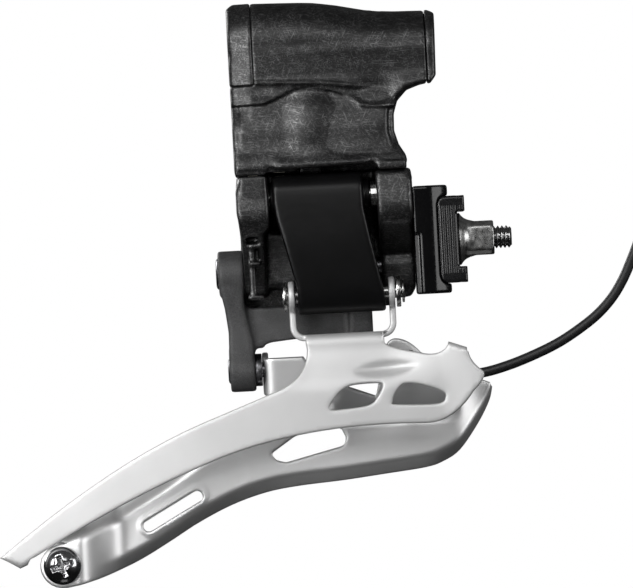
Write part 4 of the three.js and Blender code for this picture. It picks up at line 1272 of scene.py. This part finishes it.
def inner_depth(x, z):
    """Depth of the inner plate's outboard face.

    Its tail is cranked outboard, its foot and the part over its ridge line fall away inboard, its
    nose flares, a rim runs round the slot, and the parts by the bracket and behind the windows lean.
    """
    crank = -8.6 * step(-69.5, -80.3, x) ** 1.4
    above_foot = z - np.interp(x, *FOOT_CURVE)
    foot = smax(0, 1.1 * (2.8 - above_foot), 0.6) * step(-79, -67, x)
    over = np.maximum(z - np.interp(x, *zip(*INNER_RIDGE)), 0)
    shoulder = np.where(over < 2.4, 0.28 * over**2, 1.34 * (over - 1.2)) * step(-46, -58, x)
    shoulder = 4.5 * (1 - np.exp(-shoulder / 4.5))
    nose = 2.6 * step(-2, 7.5, x + 0.25 * (z + 38))
    mark = 0.035 * bell(np.hypot(x + 46.7, z + 46.3) - 2.9, 0.3)
    slot_u, slot_v = turned_axes(x, z, SLOT_CENTRE, SLOT_TURN)
    slot_r = np.hypot(np.maximum(np.abs(slot_u) - SLOT_REACH, 0), slot_v)
    rim = 0.32 * bell(slot_r - 1.6, 0.5)
    tilt = 0.06 * np.maximum(x + 37.5, 0) - 0.16 * (z - D[1])
    tilt = tilt * step(-34, -31, z) * step(-24, -30, x)
    sunk = np.interp(z, (-38, -35, -29.5, -28.5), (0, 1.5, 0.1, 0)) * step(-28, -25, x) * step(1, -3, x)
    return INNER_Y + crank + foot + nose + shoulder + tilt + sunk - mark - rim


def inner_place(u, v):
    """Bends the flat inner plate, with its rear bracket folded inboard as an ear."""
    bend, edge_x = BRACKET_BEND, BRACKET_X + BRACKET_BEND
    past = np.maximum(edge_x - u, 0) * (v > -31.2) * (u > -60)
    angle = np.minimum(past / bend, HALF_TURN)
    straight = np.maximum(past - bend * HALF_TURN, 0)
    x = np.where(past > 0, edge_x - bend * np.sin(angle), u)
    y = inner_depth(x, v) + bend * (1 - np.cos(angle)) + straight
    return np.stack([x, y, v], axis=-1)


def slot_outline():
    points = []
    for i in range(20):
        t = 2 * math.pi * i / 20
        u = SLOT_R * math.cos(t) + (SLOT_REACH if math.cos(t) > 0 else -SLOT_REACH)
        v = SLOT_R * math.sin(t)
        points.append((
            SLOT_CENTRE[0] + u * math.cos(SLOT_TURN) - v * math.sin(SLOT_TURN),
            SLOT_CENTRE[1] + u * math.sin(SLOT_TURN) + v * math.cos(SLOT_TURN),
        ))
    return points


def inner_plate():
    """The inboard plate: its cranked tail with the screw's eye, its foot, bracket and rivet lobe."""
    outline = [(7.1, -30.2)] + [tuple(p) for p in smooth_run(INNER_FOOT[:0:-1], 5)]
    for i in range(15):
        t = -math.pi / 2 - 0.1 - (math.pi + 0.1) * i / 14
        outline.append((TAIL_X + TAIL_R * math.cos(t), TAIL_Z + TAIL_R * math.sin(t)))
    outline += curve_points(
        (-85.5, -58.2), ((-78.5, -53.6),), ((-62, -45), (-46, -36.6)), ((-38.6, -32.4),),
        ((-39.4, -30.9),), ((-46.2, -29.4),), ((-47.4, -25.1), (-46.2, -21.6)),
        ((-43.6, -21.3), (-40.0, -22.9)), ((-31.6, -22.9),), ((-29, -27.2), (-22.4, -29.8)),
        ((-17, -31.9),), ((-14.6, -24),), ((-14.8, -20.4), (-12.5, -20)),
        ((-9.8, -19.9), (-7.1, -23.1)), ((0, -27.5), (5.6, -29.6)),
    )[:-1]
    bracket_eye = BRACKET_X + BRACKET_BEND * (2 - HALF_TURN) - (D[0] - INNER_Y)
    holes = [
        fillet(BIG_HOLE, 1.3), slot_outline(),
        circle(TAIL_X, TAIL_Z, 1.6), circle(bracket_eye, D[1], 1.68),
    ]
    # The inner plate's silver is painted lighter than the outer plate's, as painted light against the
    # outer plate's shade.
    thing = sheet_metal("inner_cage_plate", outline, holes, inner_place, 0.4, "inner_silver", 0.6)
    settle(thing, "cage", "cage_silver", "inner_plate")


# ---- lead

CORD_D = 2.1
COIL_CENTRE = (55, -12)
COIL_R, COIL_Y, COIL_TURNS, COIL_PITCH, COIL_STEPS = 11.5, 8.6, 4, 2.25, 72
LEAD_ROUTE = [
    (-20, 15.6, -3.3), (-20, 15.6, -8), (-19.8, 15.5, -13), (-18.4, 15.2, -17.6),
    (-15.4, 14.7, -21.8), (-11.1, 14, -25.1), (-6, 13.2, -27.4), (-0.5, 12.5, -28.5),
    (5.7, 11.8, -28.2), (11.3, 11.2, -26.9), (17, 10.7, -24.9), (22, 10.3, -22.7),
    (26.4, 10, -20.1), (30.4, 9.8, -17.2), (33.7, 9.7, -13.8), (36.2, 9.6, -10),
    (38.3, 9.6, -5.7), (40.6, 9.6, -0.6), (43.6, 9.6, 4.5), (48, 9.6, 8.6),
    (54, 9.6, 10.3), (60, 9.7, 8.4), (64.3, 9.7, 3.8), (66.2, 9.7, -2.9),
]


def cord_path():
    """The lead's centreline: its free run, the coil, and the end that drops into the connector."""
    path = [tuple(p) for p in smooth_run(LEAD_ROUTE, 8)]
    centre_x, centre_z = COIL_CENTRE
    for i in range(COIL_STEPS * COIL_TURNS + 1):
        angle = -2 * math.pi * i / COIL_STEPS
        y = COIL_Y + CORD_D / 2 + 0.1 + COIL_PITCH * i / COIL_STEPS
        path.append((centre_x + COIL_R * math.cos(angle), y, centre_z + COIL_R * math.sin(angle)))
    last_y = path[-1][1]
    plug_y = span("lead_connector")[0][1] + 2.1
    for k in range(1, 5):
        y = last_y + (plug_y - last_y) * float(step(0, 4, k))
        path.append((centre_x + COIL_R, y, centre_z - 2.4 * k))
    return path


def lead():
    path = cord_path()
    data = bpy.data.curves.new("lead_cable", "CURVE")
    data.dimensions = "3D"
    data.bevel_depth = CORD_D / 2 * MM
    data.bevel_resolution = 5
    data.use_fill_caps = True
    spline = data.splines.new("POLY")
    spline.points.add(len(path) - 1)
    for point, place in zip(spline.points, path):
        point.co = (*(c * MM for c in place), 1)
    spline.use_smooth = True
    data.materials.append(FINISHES["rubber"])
    cable = bpy.data.objects.new("lead_cable", data)
    bpy.context.scene.collection.objects.link(cable)
    settle(cable, "root", "black_rubber", "lead_tube", "lead_coil")
    return cable, sum(math.dist(a, b) for a, b in zip(path, path[1:])) * MM


def strain_relief():
    low, high = span("lead_strain_relief")

    def shape(x, y, z):
        form = block(x, y, z, (low[0], low[1], -1.5), high, 1.0)
        taper = np.interp(z, (-3.0, -1.2), (1.75, 2.3))
        sleeve = np.maximum(np.hypot(x + 20, y - 15.6) - taper, np.maximum(-2.95 - z, z))
        return smin(form, sleeve, 0.6)

    return cast_node("lead_strain_relief", "lead_boot", shape, (0.3, 0.3), 0.2, RUBBER)


def coil_tie():
    low, high = span("coil_tie")

    def shape(x, y, z):
        outer = block(x, y, z, low, high, 0.8)
        inner = block(x, y, z, low + (-2, 0.7, 0.8), high + (2, -0.7, -1.0), 0.5)
        return smax(outer, -inner, 0.2)

    return cast_node("coil_tie", "lead_tie", shape, (0.2, 0.2), 0.2, RUBBER)


def connector():
    low, high = span("lead_connector")
    root_z = low[2]

    def shape(x, y, z):
        body = block(x, y, z, (low[0], low[1], root_z + 3.1), high, 0.9)
        nose = block(x, y, z, low + (0.7, 0.7, 0), (high[0] - 0.7, high[1] - 0.7, root_z + 4), 0.4)
        grip = 0.22 * np.cos(2 * math.pi * z / 1.5) * step(root_z + 5, root_z + 6.5, z)
        return np.minimum(body + 0.12 + grip * (np.abs(x - (low[0] + high[0]) / 2) > 2.0), nose)

    return cast_node("lead_connector", "lead_plug", shape, (0.2, 0.2), 0.16, SATIN_BLACK)


# ---- CAD nodes that stay

KEPT = {
    "rubber": ["rear_seal", "front_seal"],
    "steel": [
        "motor_can", "gearhead", "motor_shaft", "first_gear_axle", "second_gear_axle", "sensor_magnet",
        "tail_spacer", "tail_nut", "front_rivet", "housing_screw_1", "housing_screw_2", "front_bush",
    ],
    "nylon": ["first_gear", "second_gear", "sector_gear"],
    "bronze": ["motor_pinion", "rear_bush"],
    "casting": ["middle_bush"],
    "board": ["control_board"],
}


def dress_kept_nodes():
    """Fine edges and finishes for the CAD solids that already have their true shape."""
    for finish, names in KEPT.items():
        for name in names:
            node = frame["nodes"][name]
            node.data.materials.clear()
            node.data.materials.append(FINISHES[finish])
            weld = node.modifiers.new("weld", "WELD")
            weld.merge_threshold = 1e-6
            bevel = node.modifiers.new("edges", "BEVEL")
            bevel.width = 0.08 * MM
            bevel.segments = 2
            bevel.limit_method = "ANGLE"
            bevel.angle_limit = math.radians(40)


make_camera()
make_finishes()
cable, cable_length = lead()
boot = strain_relief()
tie, plug = coil_tie(), connector()
make_studio()
for build_piece in (
    motor_housing, end_caps, fixed_body, outer_link, inner_link, braze_on_block, clamp_saddle,
    flange_nut, mounting_stud, pins_and_washers, tail_screw, outer_plate, inner_plate,
):
    build_piece()
dress_kept_nodes()
